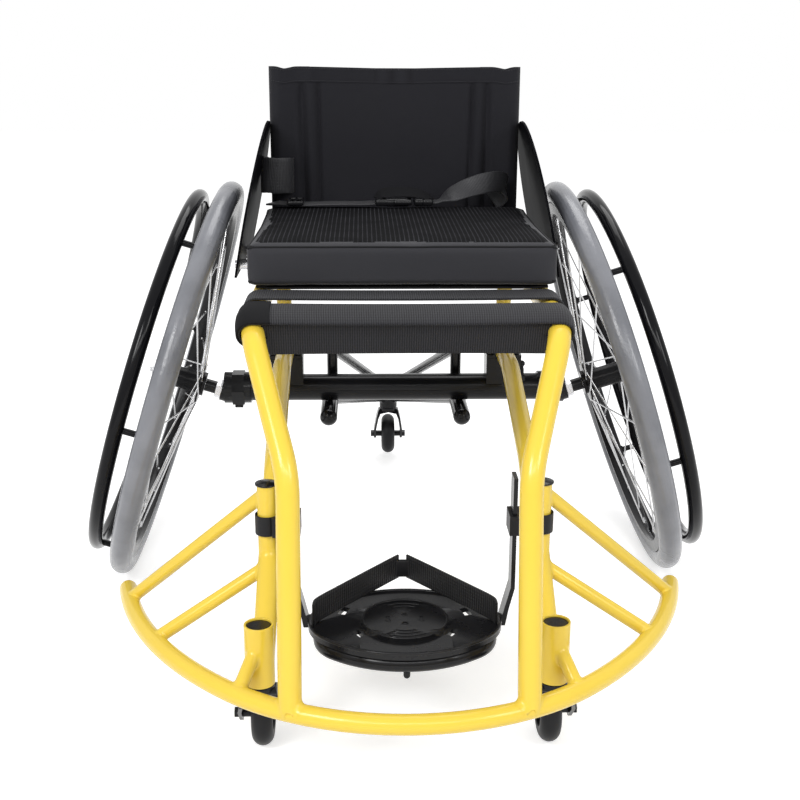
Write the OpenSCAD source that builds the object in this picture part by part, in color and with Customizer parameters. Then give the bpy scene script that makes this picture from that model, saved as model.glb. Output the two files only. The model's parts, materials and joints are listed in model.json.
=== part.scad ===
// Rigid-frame sports wheelchair with cambered rear wheels, a curved front bumper and an anti-tip caster.
// Millimetres, +Z up. The rider faces -Y, and left is the rider's own left, +X.
// Sizes that are "ahead" run forward from the rear axle.

/* [Rear wheels] */
// Outer diameter of the rear tyre
wheel_d = 606; // [580:1:630]
// Section diameter of the tyre
tyre_d = 33; // [28:1:38]
// Lean of each wheel from upright, in degrees
camber = 17.3; // [15:0.1:19]
// Distance between the two hub centres
track = 647.4; // [640:1:680]
// Width of the rim
rim_w = 25; // [20:1:27]
// Radial depth of the rim below the tyre seat
rim_depth = 20; // [14:1:26]
// Number of spokes on a wheel, a multiple of four
spoke_count = 32; // [24:4:36]
// Spoke diameter
spoke_d = 2.2; // [1.8:0.1:2.6]
// Spoke crossings, counted in hub hole steps
spoke_cross = 3; // [2:1:3]
// Diameter of the hub flanges
flange_d = 62; // [56:1:70]
// Thickness of a hub flange
flange_t = 3; // [2.5:0.5:4]
// Diameter of the hub barrel between its flanges
barrel_d = 32; // [30:1:40]
// Reach of the hub inboard of the wheel's plane
hub_in = 40; // [38:1:44]
// Reach of the hub outboard of the wheel's plane
hub_out = 32; // [30:1:36]
// Distance of the handrim's own circle inside the tyre's outer circle
handrim_drop = 35; // [33:0.5:40]
// Handrim tube diameter
handrim_tube_d = 20; // [16:1:22]
// Distance of the handrim outboard of the wheel's plane
handrim_off = 43; // [40:1:50]
// Number of stand-offs between rim and handrim
tab_count = 6; // [5:1:8]
// Stand-off diameter
tab_d = 9; // [7:1:11]

/* [Axle] */
// Diameter of the camber bar
bar_d = 40; // [38:1:42]
// Wall of the camber bar
bar_wall = 3; // [2:0.5:4]
// Half the length of the camber bar
bar_half = 250; // [240:1:256]
// Diameter of the quick-release axle pin
pin_d = 12.7; // [12:0.1:13.5]
// Diameter of the threaded axle sleeve
sleeve_d = 19; // [18:0.5:21]
// Width across flats of the sleeve's lock nut
nut_af = 26; // [24:1:30]
// Thickness of the lock nut
nut_t = 9; // [7:1:10]
// Outer diameter of the collar on the bar's end
collar_d = 47; // [46:1:54]
// Length of that collar
collar_l = 40; // [34:1:44]
// Diameter of the release button
button_d = 8; // [6:0.5:9]
// Travel of the release button
button_travel = 3; // [2:0.5:4]

/* [Main frame] */
// Diameter of the main and lower frame tubes
tube_d = 25.4; // [24:0.1:28]
// Distance between the two seat rails' centre lines
seat_w = 339; // [330:1:350]
// Height of the seat rails' centre lines
rail_z = 479; // [470:1:500]
// Length of the seat rails behind the axle
rail_rear = 46; // [44:1:60]
// Forward place of the rails' front corner
front_corner = 490; // [470:1:500]
// Radius of the rails' front bend
front_bend_r = 75; // [60:1:90]
// Half the distance between the main tubes at the knee
knee_x = 126.5; // [120:0.5:132]
// Forward place of the knee
knee_ahead = 592; // [580:1:600]
// Height of the knee
knee_z = 348; // [330:1:370]
// Bend radius of the knee
knee_bend_r = 90; // [60:1:110]
// Half the distance between the lower frame tubes
lower_x = 163; // [160:0.5:165]
// Height of the lower tubes where the clamps hold them
lower_z = 330; // [324:1:336]
// Forward place of the lower tubes' first bend
lower_bend_1 = 95; // [80:1:110]
// Forward place of the lower tubes' second bend
lower_bend_2 = 350; // [340:1:360]
// Height of that second bend
lower_bend_2_z = 278; // [270:1:286]
// Half the distance between the lower tubes at the second bend
lower_front_x = 157.5; // [155:0.5:160]
// Bend radius of the lower tubes
lower_bend_r = 90; // [60:1:120]
// Diameter of the rear uprights, back posts and footrest posts
post_d = 22.2; // [20:0.1:24]
// Distance of the rear uprights behind the axle
rear_off = 32; // [30.5:0.5:36]

/* [Front bumper] */
// Diameter of the bumper tube
bumper_d = 22.2; // [20:0.1:24]
// Height of the bumper's centre line
bumper_z = 100; // [98:0.5:106]
// Forward place of the bumper's middle
bumper_ahead = 666; // [655:1:675]
// Radius of the bumper's front curve
bumper_r1 = 301; // [290:1:310]
// Half angle of the front curve
bumper_a1 = 41; // [38:0.5:44]
// Radius of the bumper's side curves
bumper_r2 = 477; // [460:1:500]
// Direction angle at the bumper's ends
bumper_a2 = 77.7; // [76:0.1:80]
// Diameter of the struts to the bumper
strut_d = 16; // [14:0.5:18]

/* [Casters] */
// Diameter of a caster wheel
caster_d = 75; // [70:1:76]
// Width of a caster wheel
caster_w = 25; // [22:1:26]
// Trail of a caster wheel behind its swivel
trail = 28; // [24:1:32]
// Half the distance between the front swivels
swivel_x = 164; // [161:1:167]
// Forward place of the front swivels
swivel_ahead = 560; // [555:1:565]
// Diameter of a swivel housing
housing_d = 33; // [32:0.5:36]
// Height of the front swivel housings
housing_h = 72; // [60:1:76]
// Diameter of the fork stems
stem_d = 12; // [10:0.5:13]
// Height of the front forks' arch over the floor
front_arch = 82; // [79:1:84]
// Height of the rear fork's arch over the anti-tip wheel's lowest point
rear_arch = 92; // [84:1:96]
// Gap between the anti-tip wheel and the floor
anti_gap = 8; // [5:0.5:12]
// Distance of the anti-tip swivel behind the axle
anti_back = 442; // [430:1:455]

/* [Footrest] */
// Forward place of the footrest posts
post_ahead = 450; // [445:1:455]
// Half the distance between the footrest posts
foot_post_x = 160.5; // [159:0.5:162]
// Rise of the footrest posts' tops over the lower tubes' centre lines
foot_post_rise = 88.9; // [84:0.1:100]
// Half the distance between the hanger bars
hanger_x = 128; // [124:1:130]
// Height of the hanger bars' tops
hanger_top = 294; // [285:1:310]
// Width of a hanger bar
hanger_w = 25; // [20:1:30]
// Thickness of a hanger bar
hanger_t = 5; // [4:0.5:6]
// Height of the footplate's underside
plate_z = 113; // [110:1:122]
// Thickness of the footplate
plate_t = 6; // [4:0.5:8]
// Half the width of the footplate
plate_half_w = 114; // [108:1:116]
// Half the depth of the footplate
plate_half_l = 84; // [78:1:90]
// Forward place of the footplate's centre
plate_ahead = 471; // [465:1:476]
// Diameter of the raised disc on the footplate
disc_d = 104; // [90:1:110]
// Height of that disc
disc_t = 4; // [2:0.5:6]

/* [Seat] */
// Width of the cushion
cushion_w = 365; // [350:1:368]
// Depth of the cushion from front to back
cushion_l = 330; // [310:1:340]
// Thickness of the cushion at its edges
cushion_t = 48; // [36:1:56]
// Rise of the cushion's crown
cushion_crown = 4; // [0:0.5:8]
// How far the cushion's sides draw in between its corners
cushion_draw = 4; // [0:0.5:8]
// Forward place of the cushion's rear edge
cushion_rear = 20; // [18:1:30]
// Thickness of the seat sling
sling_t = 5; // [3:0.5:6]
// Height of the backrest's top
back_top = 742; // [700:1:780]
// Half the distance between the back posts
back_x = 164.5; // [162:0.5:166]
// Width of each of the backrest's post sleeves
sleeve_w = 56; // [46:1:60]
// Depth of the backrest's sag between its sleeves
back_sag = 12; // [4:1:16]
// Thickness of the webbing straps
strap_t = 3; // [2:0.5:4]
// Width of the seat straps
strap_w = 50; // [44:1:54]
// Radius of a side guard's round top
guard_r = 138; // [130:1:146]
// Thickness of a side guard
guard_t = 3; // [2:0.5:4]
// Inward lean of the side guards, in degrees
guard_lean = 11.5; // [9:0.5:13]
// Distance of a guard's lower edge from the centre plane
guard_x = 222; // [219:1:225]

/* [Hidden] */
$fn = 48;

frame_yellow = "gold";
gloss_black = "#1a1a1c";
soft_black = "#2a2a2e";
bright_steel = "silver";
tyre_grey = "#8f9196";

// Clearance of a running fit, on the radius
run_gap = 0.05;
// Clearance of parts that are only pushed together, on the radius
seat_gap = 0.02;
// Clearance between a soft piece and what it lies on
soft_gap = 0.3;
// A bend reaches this angle into its straight lengths, and is this much thinner than they are.
bend_lap = 0.4;
bend_step = 0.04;

// Whole-model place: the box's centre is the origin, so the axle sits ahead or behind it.
rear_reach = anti_back + trail + caster_d / 2;
front_reach = bumper_ahead + bumper_d / 2;
axle_y = (front_reach - rear_reach) / 2;

// Wheel geometry
tyre_path_r = (wheel_d - tyre_d) / 2;
hub_z = tyre_path_r * cos(camber) + tyre_d / 2;
handrim_d = wheel_d - 2 * handrim_drop;
rim_out_r = sqrt(pow(tyre_d / 2, 2) - pow(rim_w / 2 - 1.5, 2));
rim_r = tyre_path_r - rim_out_r;
rim_in_r = rim_r - rim_depth;
tab_r = rim_r - rim_depth / 2 + 2;
tab_phase_left = 43;
tab_phase_right = 32;

// The wheel's axis crosses the camber bar's axis this far from the centre plane.
apex_x = bar_half + 20;
bar_z = hub_z - (track / 2 - apex_x) * tan(camber);
collar_face_x = bar_half + 6;
nut_from = -(track / 2 - collar_face_x) / cos(camber) + 5;
sunk = 12;

// Bearings of the rear hubs
bearing_d = 28;
bearing_w = 8;

// Frame stations
rail_x = seat_w / 2;
lower_slope = (lower_bend_2_z - bumper_z - 6) / (swivel_ahead - lower_bend_2);
foot_post_z = lower_bend_2_z - lower_slope * (post_ahead - lower_bend_2) + foot_post_rise;
housing_z = front_arch + 9;

function unit(v) = v / norm(v);
function forward(x, ahead, z) = [x, -ahead, z];
function flip(p) = [-p[0], p[1], p[2]];
function lower_height(ahead) = lower_bend_2_z - (ahead - lower_bend_2) * lower_slope;
function lower_side(ahead) =
    lower_front_x + (swivel_x - 3 - lower_front_x) * (ahead - lower_bend_2)
    / (swivel_ahead - lower_bend_2);

// Bumper centre line: a front arc and a wider side arc, tangent to each other.
bumper_c1 = [0, bumper_r1 - bumper_ahead];
bumper_c2 = bumper_c1 - (bumper_r2 - bumper_r1) * [sin(bumper_a1), -cos(bumper_a1)];
function bumper_point(a) =
    let (c = a <= bumper_a1 ? bumper_c1 : bumper_c2, r = a <= bumper_a1 ? bumper_r1 : bumper_r2)
    [c[0] + r * sin(a), c[1] - r * cos(a), bumper_z];
foot_angle = asin(knee_x / bumper_r1);
upper_strut_angle = 74;
lower_strut_angle = 59.5;
stub_angle = 38;

main_path = [
    [rail_x, rail_rear, rail_z],
    forward(rail_x, front_corner, rail_z),
    forward(knee_x, knee_ahead, knee_z),
    bumper_point(foot_angle) + [0, 0, 4]
];
main_bends = [0, front_bend_r, knee_bend_r, 0];

lower_path = [
    [lower_x, rail_rear, lower_z],
    forward(lower_x, lower_bend_1, lower_z),
    forward(lower_front_x, lower_bend_2, lower_bend_2_z),
    forward(swivel_x - 3, swivel_ahead, bumper_z + 6)
];
lower_bends = [0, lower_bend_r, lower_bend_r, 0];

// Moves what is drawn from the axle's frame to the model's.
module from_axle() translate([0, axle_y, 0]) children();

module mirror_right(right = true) mirror([right ? 1 : 0, 0, 0]) children();

module both_sides() {
    children();
    mirror_right() children();
}

// Round bar from a to b
module rod(a, b, d) {
    v = b - a;
    translate(a)
        rotate([0, acos(v[2] / norm(v)), atan2(v[1], v[0])])
            cylinder(h = norm(v), d = d);
}

// Bent tube: straight lengths between the corners p, with bend radii r.
function corner_turn(p, i) = acos(unit(p[i] - p[i - 1]) * unit(p[i + 1] - p[i]));
function setback(p, r, i) = i == 0 || i == len(p) - 1 ? 0 : r[i] * tan(corner_turn(p, i) / 2);

module bend(p, r, i, d) {
    u = unit(p[i] - p[i - 1]);
    w = unit(p[i + 1] - p[i]);
    inward = unit(w - u * (u * w));
    c = p[i] - u * setback(p, r, i) + inward * r[i];
    n = cross(-inward, u);
    multmatrix([
        [-inward[0], u[0], n[0], c[0]],
        [-inward[1], u[1], n[1], c[1]],
        [-inward[2], u[2], n[2], c[2]],
        [0, 0, 0, 1]
    ])
        rotate(-bend_lap) rotate_extrude(angle = corner_turn(p, i) + 2 * bend_lap, $fn = 96)
            translate([r[i], 0]) circle(d = d - bend_step);
}

module bent_tube(p, r, d) {
    for (i = [0 : len(p) - 2]) {
        u = unit(p[i + 1] - p[i]);
        rod(p[i] + u * setback(p, r, i), p[i + 1] - u * setback(p, r, i + 1), d);
    }
    for (i = [1 : len(p) - 2])
        bend(p, r, i, d);
}

// Tapered bar in the plane round two circles
module tapered_bar(c1, r1, c2, r2) {
    v = c2 - c1;
    lean = acos((r1 - r2) / norm(v));
    along = atan2(v[1], v[0]);
    function edge(c, r, s) = c + r * [cos(along + s * lean), sin(along + s * lean)];
    translate(c1) circle(r = r1);
    translate(c2) circle(r = r2);
    polygon([edge(c1, r1, 1), edge(c2, r2, 1), edge(c2, r2, -1), edge(c1, r1, -1)]);
}

// Ring about Z
module ring(d_out, d_in, h) {
    difference() {
        cylinder(d = d_out, h = h);
        translate([0, 0, -1]) cylinder(d = d_in, h = h + 2);
    }
}

// Frame tubes as plain solids, used both as pieces and to cope their neighbours
module main_solid(extra = 0) bent_tube(main_path, main_bends, tube_d + extra);

module lower_solid() bent_tube(lower_path, lower_bends, tube_d);

module bumper_arc(c, r, from, to, d)
    translate([c[0], c[1], bumper_z])
        rotate(from - 90)
            rotate_extrude(angle = to - from, $fn = 128)
                translate([r, 0]) circle(d = d);

module bumper_solid() {
    bumper_arc(bumper_c1, bumper_r1, -bumper_a1, bumper_a1, bumper_d);
    both_sides() {
        bumper_arc(bumper_c2, bumper_r2, bumper_a1 - bend_lap / 2, bumper_a2, bumper_d - 0.14);
        translate(bumper_point(bumper_a2)) sphere(d = bumper_d - 0.4);
    }
}

module housing_solid()
    translate(forward(swivel_x, swivel_ahead, housing_z)) cylinder(d = housing_d, h = housing_h);

module upright_solid()
    rod([lower_x, rear_off, lower_z], [rail_x, rear_off, rail_z], post_d);

module foot_post_solid()
    rod(
        forward(foot_post_x, post_ahead, lower_height(post_ahead)),
        forward(foot_post_x, post_ahead, foot_post_z),
        tube_d
    );

module main_tube(right) color(frame_yellow) from_axle() mirror_right(right) difference() {
    main_solid();
    bumper_solid();
}

module main_tube_left() main_tube(false);

module main_tube_right() main_tube(true);

module bumper() color(frame_yellow) from_axle() bumper_solid();

module lower_tube(right) color(frame_yellow) from_axle() mirror_right(right) difference() {
    lower_solid();
    housing_solid();
}

module lower_tube_left() lower_tube(false);

module lower_tube_right() lower_tube(true);

module rear_uprights() color(frame_yellow) from_axle() both_sides() difference() {
    upright_solid();
    main_solid();
    lower_solid();
}

module footrest_posts() color(frame_yellow) from_axle() both_sides() difference() {
    foot_post_solid();
    lower_solid();
}

module upper_struts() color(frame_yellow) from_axle() both_sides() difference() {
    rod(
        forward(foot_post_x, post_ahead, foot_post_z - 10),
        bumper_point(upper_strut_angle),
        strut_d
    );
    foot_post_solid();
    bumper_solid();
}

module lower_struts() color(frame_yellow) from_axle() both_sides() difference() {
    rod(
        forward(lower_side(post_ahead + 10), post_ahead + 10, lower_height(post_ahead + 10)),
        bumper_point(lower_strut_angle),
        strut_d
    );
    lower_solid();
    foot_post_solid();
    bumper_solid();
}

module bumper_stubs() color(frame_yellow) from_axle() both_sides() difference() {
    rod(
        forward(swivel_x, swivel_ahead, housing_z + housing_h * 0.7),
        bumper_point(stub_angle),
        strut_d
    );
    housing_solid();
    bumper_solid();
}

// Swivel housings: a tube with a bearing at each end
module housing_tube(base, h) {
    translate([0, 0, base]) ring(housing_d, bearing_d, h);
}

module bearing_pair(base, h) {
    for (z = [base + 1, base + h - 6 - bearing_w])
        translate([0, 0, z]) ring(bearing_d - 2 * seat_gap, stem_d + 2 * run_gap, bearing_w);
}

module caster_housings() color(frame_yellow) from_axle() both_sides()
    translate(forward(swivel_x, swivel_ahead, 0)) housing_tube(housing_z, housing_h);

anti_base = anti_gap + rear_arch + 9;
anti_h = 52;

module antitip_housing() color(gloss_black) from_axle()
    translate([0, anti_back, 0]) housing_tube(anti_base, anti_h);

module caster_bearings() color(bright_steel) from_axle() {
    both_sides()
        translate(forward(swivel_x, swivel_ahead, 0)) bearing_pair(housing_z, housing_h);
    translate([0, anti_back, 0]) bearing_pair(anti_base, anti_h);
}

// Plugs: sunk discs in the front housings, discs on the footrest posts, domes on the other ends
module dome(d, rise) {
    r = (d * d / 4 + rise * rise) / (2 * rise);
    intersection() {
        translate([0, 0, rise - r]) sphere(r = r);
        cylinder(d = d, h = rise);
    }
}

module housing_disc(base, h)
    translate([0, 0, base + h - 6]) cylinder(d = bearing_d - 2 * seat_gap, h = 4);

module tube_caps() color(gloss_black) from_axle() {
    both_sides() {
        translate(forward(swivel_x, swivel_ahead, 0)) housing_disc(housing_z, housing_h);
        translate(forward(foot_post_x, post_ahead, foot_post_z)) {
            cylinder(d = tube_d + 1, h = 2);
            translate([0, 0, 2]) dome(tube_d + 1, 2);
        }
        translate([rail_x, rail_rear, rail_z]) rotate([-90, 0, 0]) dome(tube_d, 3);
        translate([lower_x, rail_rear, lower_z]) rotate([-90, 0, 0]) dome(tube_d, 3);
        translate(anti_front) rotate([90, 0, 0]) dome(tube_d, 10);
    }
    at_anti_top() {
        cylinder(d = housing_d + 2, h = 3);
        translate([0, 0, 3]) dome(housing_d + 2, 8);
    }
}

module at_anti_top() translate([0, anti_back, anti_base + anti_h]) children();

// Camber bar, its end plugs and the cambered axle hardware
module bar_solid(half, d)
    translate([-half, 0, bar_z]) rotate([0, 90, 0]) cylinder(d = d, h = 2 * half);

// Local Z runs out along the left wheel's axis, from the wheel's centre.
module wheel_axis() translate([track / 2, 0, hub_z]) rotate([0, 90 - camber, 0]) children();

module camber_bar() color(gloss_black) from_axle() difference() {
    bar_solid(bar_half, bar_d);
    bar_solid(bar_half + 1, bar_d - 2 * bar_wall);
}

module bar_slice(from, to, d)
    translate([from, 0, bar_z]) rotate([0, 90, 0]) cylinder(d = d, h = to - from);

module camber_plugs() color(gloss_black) from_axle() both_sides() difference() {
    union() {
        difference() {
            union() {
                bar_slice(collar_face_x - collar_l, collar_face_x, collar_d);
                translate([collar_face_x - collar_l + 10, 0, bar_z])
                    rotate([0, 90, 0]) rotate(30) cylinder(d = collar_d + 7, h = 18, $fn = 6);
                translate([collar_face_x - collar_l + 13, -8, bar_z - collar_d / 2 - 6])
                    cube([12, 16, 12]);
            }
            bar_slice(collar_face_x - collar_l - 1, bar_half + seat_gap, bar_d + 2 * seat_gap);
        }
        bar_slice(bar_half - 24, collar_face_x, bar_d - 2 * bar_wall - 2 * seat_gap);
        wheel_axis() translate([0, 0, nut_from - sunk]) cylinder(d = 33, h = sunk);
    }
    wheel_axis() translate([0, 0, nut_from - sunk - 0.1]) cylinder(d = sleeve_d + 2 * seat_gap, h = 60);
}

module axle_sleeves() color(gloss_black) from_axle() both_sides() wheel_axis()
    translate([0, 0, nut_from - sunk])
        ring(sleeve_d, pin_d + 2 * seat_gap, sunk - nut_from - hub_in - 0.4);

module axle_nuts() color(bright_steel) from_axle() both_sides() wheel_axis()
    translate([0, 0, nut_from]) difference() {
        intersection() {
            cylinder(d = nut_af / cos(30), h = nut_t, $fn = 6);
            translate([0, 0, nut_t / 2]) sphere(d = nut_af * 1.17);
        }
        translate([0, 0, -1]) cylinder(d = sleeve_d + 2 * seat_gap, h = nut_t + 2);
    }

button_seat = hub_out + 1;

module axle_pins() color(bright_steel) from_axle() both_sides() wheel_axis() difference() {
    union() {
        translate([0, 0, nut_from - sunk]) cylinder(d = pin_d, h = hub_out - nut_from + sunk + 2);
        translate([0, 0, hub_out + 0.3]) cylinder(d = 24, h = 3);
        translate([0, 0, hub_out + 3.3]) cylinder(d = button_d + 7, h = 5.7);
    }
    translate([0, 0, button_seat]) cylinder(d = button_d + 2 * run_gap, h = 20);
}

module axle_button(right) color(gloss_black) from_axle() mirror_right(right) wheel_axis() {
    translate([0, 0, button_seat + button_travel + 0.5]) cylinder(d = button_d, h = 8);
    translate([0, 0, button_seat + button_travel + 8.5]) dome(button_d, 1.5);
}

module axle_button_left() axle_button(false);

module axle_button_right() axle_button(true);

// Cradles that sit on the bar and hold the lower tubes, each with a bolted cap
clamp_w = 52;
clamp_l = 40;
clamp_split = lower_z - 8;
clamp_flange = clamp_split + 5;
clamp_top = lower_z + tube_d / 2 + 4;
crown_w = tube_d + 4.4;
screw_x = crown_w / 2 + 4.4;
screw_y = 12;

module clamp_profile(points)
    translate([lower_x, clamp_l / 2, 0]) rotate([90, 0, 0]) linear_extrude(clamp_l)
        polygon(points);

module at_screws()
    for (x = [-screw_x, screw_x], y = [-screw_y, screw_y])
        translate([lower_x + x, y, 0]) children();

module bar_clamps() color(gloss_black) from_axle() both_sides() difference() {
    union() {
        clamp_profile([
            [-clamp_w / 2, bar_z + 9], [clamp_w / 2, bar_z + 9],
            [clamp_w / 2, clamp_split], [-clamp_w / 2, clamp_split]
        ]);
        clamp_profile([
            [-clamp_w / 2, clamp_split + 0.4], [clamp_w / 2, clamp_split + 0.4],
            [clamp_w / 2, clamp_flange], [crown_w / 2, clamp_flange],
            [crown_w / 2, clamp_top - 5], [crown_w / 2 - 5, clamp_top],
            [5 - crown_w / 2, clamp_top], [-crown_w / 2, clamp_top - 5],
            [-crown_w / 2, clamp_flange], [-clamp_w / 2, clamp_flange]
        ]);
    }
    bar_slice(0, bar_half, bar_d + 2 * seat_gap);
    rod([lower_x, 60, lower_z], [lower_x, -60, lower_z], tube_d + 2 * seat_gap);
    at_screws() translate([0, 0, bar_z + 24]) cylinder(d = 5 + 2 * seat_gap, h = 60);
}

module clamp_screws() color(gloss_black) from_axle() both_sides() at_screws() {
    translate([0, 0, bar_z + 24.5]) cylinder(d = 5, h = clamp_flange + 1 - bar_z - 24.5);
    translate([0, 0, clamp_flange + seat_gap]) difference() {
        cylinder(d = 8, h = 8);
        translate([0, 0, 4]) cylinder(d = 4.6, h = 6, $fn = 6);
    }
}

// Rear structure: a cross tube between the uprights, and the truss that carries the anti-tip caster
cross_z = lower_z + 24;
anti_x = 99;
anti_z = bar_z - bar_d / 2 - tube_d / 2 - 0.1;
anti_front = [anti_x, -50, anti_z];
anti_end = [9, anti_back, anti_base + 22];
anti_path = [anti_front, [anti_x, 60, anti_z], anti_end];
post_x = anti_x - 4.5;
brace_top = [post_x, rear_off, lower_z - 4];

module anti_tube_solid() bent_tube(anti_path, [0, 60, 0], tube_d);

module anti_post_solid()
    rod([post_x, rear_off, anti_z], [post_x, rear_off, cross_z], strut_d);

module anti_housing_solid()
    translate([0, anti_back, anti_base]) cylinder(d = housing_d, h = anti_h);

module cross_solid() rod([-lower_x, rear_off, cross_z], [lower_x, rear_off, cross_z], post_d);

module rear_cross_tube() color(gloss_black) from_axle() difference() {
    cross_solid();
    both_sides() upright_solid();
}

module antitip_tubes() color(gloss_black) from_axle() both_sides() difference() {
    anti_tube_solid();
    anti_housing_solid();
    translate([-tube_d, 0, 0]) cube([tube_d, 600, 300]);
}

module antitip_braces() color(gloss_black) from_axle() both_sides() difference() {
    union() {
        anti_post_solid();
        rod([strut_d / 2 + 1, anti_back, anti_base + anti_h - 10], brace_top, strut_d);
    }
    anti_housing_solid();
    anti_tube_solid();
    at_anti_top() cylinder(d = housing_d + 2.4, h = 20);
    cross_solid();
}

// Seat
rail_top = rail_z + tube_d / 2;
sling_z = rail_top + soft_gap;
cushion_z = sling_z + sling_t + soft_gap;

module back_posts() color(gloss_black) from_axle() both_sides() difference() {
    rod([back_x, rear_off, rail_z], [back_x, rear_off, back_top - 9], post_d);
    main_solid();
}

module seat_sling() color(soft_black) from_axle()
    translate([-rail_x - 6, -cushion_rear - cushion_l + 8, sling_z])
        cube([seat_w + 12, cushion_l + 2, sling_t]);

// Cushion: rings of points on a rounded rectangle whose sides draw in, closed by a crowned top.
cushion_steps = 12;
cushion_corner = 26;
cushion_rings = [
    [0.5, 0], [0.97, 0], [0.995, 4], [1, cushion_t * 0.4], [1, cushion_t * 0.75],
    [0.995, cushion_t - 3], [0.975, cushion_t], [0.85, cushion_t + cushion_crown * 0.3],
    [0.6, cushion_t + cushion_crown * 0.75], [0.3, cushion_t + cushion_crown * 0.95]
];

function corner_point(q, k) =
    let (
        a = 90 * (q + k / cushion_steps),
        cx = cushion_w / 2 - cushion_corner,
        cy = cushion_l / 2 - cushion_corner,
        sx = q == 0 || q == 3 ? 1 : -1,
        sy = q < 2 ? 1 : -1
    )
    [sx * cx + cushion_corner * cos(a), sy * cy + cushion_corner * sin(a)];

// The straight sides get points of their own, drawn in most at the middle.
function side_point(q, t) =
    let (a = corner_point(q, cushion_steps), b = corner_point((q + 1) % 4, 0), m = 4 * t * (1 - t))
    a + (b - a) * t - cushion_draw * m * [cos(90 * (q + 1)), sin(90 * (q + 1))];

cushion_outline = [
    for (q = [0 : 3]) each concat(
        [for (k = [0 : 2 : cushion_steps]) corner_point(q, k)],
        [for (t = [0.125 : 0.125 : 0.875]) side_point(q, t)]
    )
];

module cushion() color(soft_black) from_axle() {
    n = len(cushion_outline);
    rings = len(cushion_rings);
    points = [
        for (g = cushion_rings) for (p = cushion_outline)
            [p[0] * g[0], p[1] * g[0], g[1]]
    ];
    low = len(points);
    sides = [
        for (i = [0 : rings - 2]) for (j = [0 : n - 1])
            let (a = i * n + j, b = i * n + (j + 1) % n)
            each [[a, a + n, b], [b, a + n, b + n]]
    ];
    bottom = [for (j = [0 : n - 1]) [low, j, (j + 1) % n]];
    last = low - n;
    top = [for (j = [0 : n - 1]) [low + 1, last + (j + 1) % n, last + j]];
    translate([0, -cushion_rear - cushion_l / 2, cushion_z])
        polyhedron(
            points = concat(points, [[0, 0, 0], [0, 0, cushion_t + cushion_crown]]),
            faces = concat(sides, bottom, top)
        );
}

// Backrest: a sling whose two sleeves wrap the back posts
canvas_z = cushion_z + 6;
canvas_t = 4;
sleeve_r = post_d / 2 + soft_gap + 2;
seam_x = back_x + sleeve_r - sleeve_w;
sag_r = (seam_x * seam_x + back_sag * back_sag) / (2 * back_sag);

module canvas_outline() {
    both_sides() {
        translate([back_x, rear_off]) circle(r = sleeve_r);
        polygon([
            [back_x, rear_off - sleeve_r], [back_x, rear_off + sleeve_r],
            [seam_x, rear_off + 2 - sleeve_r + canvas_t], [seam_x, rear_off + 2 - sleeve_r]
        ]);
    }
    translate([0, rear_off + 2 - sleeve_r + back_sag - sag_r]) intersection() {
        difference() {
            circle(r = sag_r + canvas_t, $fn = 360);
            circle(r = sag_r, $fn = 360);
        }
        translate([-seam_x - 0.5, 0]) square([2 * seam_x + 1, sag_r + 20]);
    }
}

module backrest_canvas() color(soft_black) from_axle() difference() {
    translate([0, 0, canvas_z]) linear_extrude(back_top - canvas_z) canvas_outline();
    both_sides()
        translate([back_x, rear_off, canvas_z - 1])
            cylinder(d = post_d + 2 * soft_gap, h = back_top - 9 + soft_gap - canvas_z + 1);
}

// Side guards: round-topped plates that lean in with the wheels
guard_base = rail_z - 12;
guard_mid = 15;
guard_rise = 67;
guard_bolt_y = [-100, 8];

module guard_plate() {
    translate([guard_x, -guard_mid, guard_base])
        rotate([0, -guard_lean, 0]) rotate([90, 0, -90])
            linear_extrude(guard_t) difference() {
                translate([0, guard_rise]) circle(r = guard_r, $fn = 128);
                translate([-guard_r - 1, -guard_r - 1])
                    square([2 * guard_r + 2, guard_r + 1]);
            }
}

module side_guards() color(gloss_black) from_axle() both_sides() difference() {
    guard_plate();
    for (y = guard_bolt_y)
        rod([rail_x, y, rail_z], [guard_x + 12, y, rail_z], 6 + 2 * seat_gap);
}

// Each bolt has a spacer that is cut to the plate's lean, and a head outside it.
module guard_bolts() color(bright_steel) from_axle() both_sides() for (y = guard_bolt_y)
    difference() {
        union() {
            rod([rail_x, y, rail_z], [guard_x, y, rail_z], 6);
            difference() {
                union() {
                    rod([rail_x, y, rail_z], [guard_x - 3, y, rail_z], 14);
                    rod([guard_x - 4, y, rail_z], [guard_x + 2, y, rail_z], 11);
                }
                guard_plate();
            }
        }
        main_solid();
    }

// Straps across the rails and the front bends
module strap_loop(w, z) {
    rotate([90, 0, 0]) translate([0, 0, -w / 2]) linear_extrude(w) {
        translate([-rail_x, z + tube_d / 2 + soft_gap + 0.1]) square([seat_w, strap_t - 0.2]);
        both_sides() translate([rail_x, z]) circle(d = tube_d + 2 * soft_gap + 2 * strap_t);
    }
}

strap_mid = 385;

module seat_strap() color(soft_black) from_axle() difference() {
    translate(forward(0, strap_mid, 0)) strap_loop(strap_w, rail_z);
    both_sides() main_solid(2 * soft_gap);
}

// The front strap lies over the start of the front bends and turns down with them.
front_strap_from = 437;
front_strap_turn = 23;
bend_start = front_corner - setback(main_path, main_bends, 1);
strap_under_r = front_bend_r + tube_d / 2 + soft_gap;

module front_strap_solid() {
    difference() {
        union() {
            intersection() {
                both_sides() main_solid(2 * soft_gap + 2 * strap_t);
                translate(forward(-200, front_strap_from + strap_w, rail_z - 40))
                    cube([400, strap_w, 80]);
            }
            translate(forward(-rail_x, bend_start, rail_z + tube_d / 2 + soft_gap))
                cube([seat_w, bend_start - front_strap_from, strap_t]);
            translate(forward(-rail_x, bend_start, rail_z - front_bend_r))
                rotate([0, 90, 0]) rotate(180)
                    rotate_extrude(angle = front_strap_turn, $fn = 128)
                        translate([strap_under_r, 0]) square([strap_t, seat_w]);
        }
        both_sides() main_solid(2 * soft_gap);
    }
}

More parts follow.
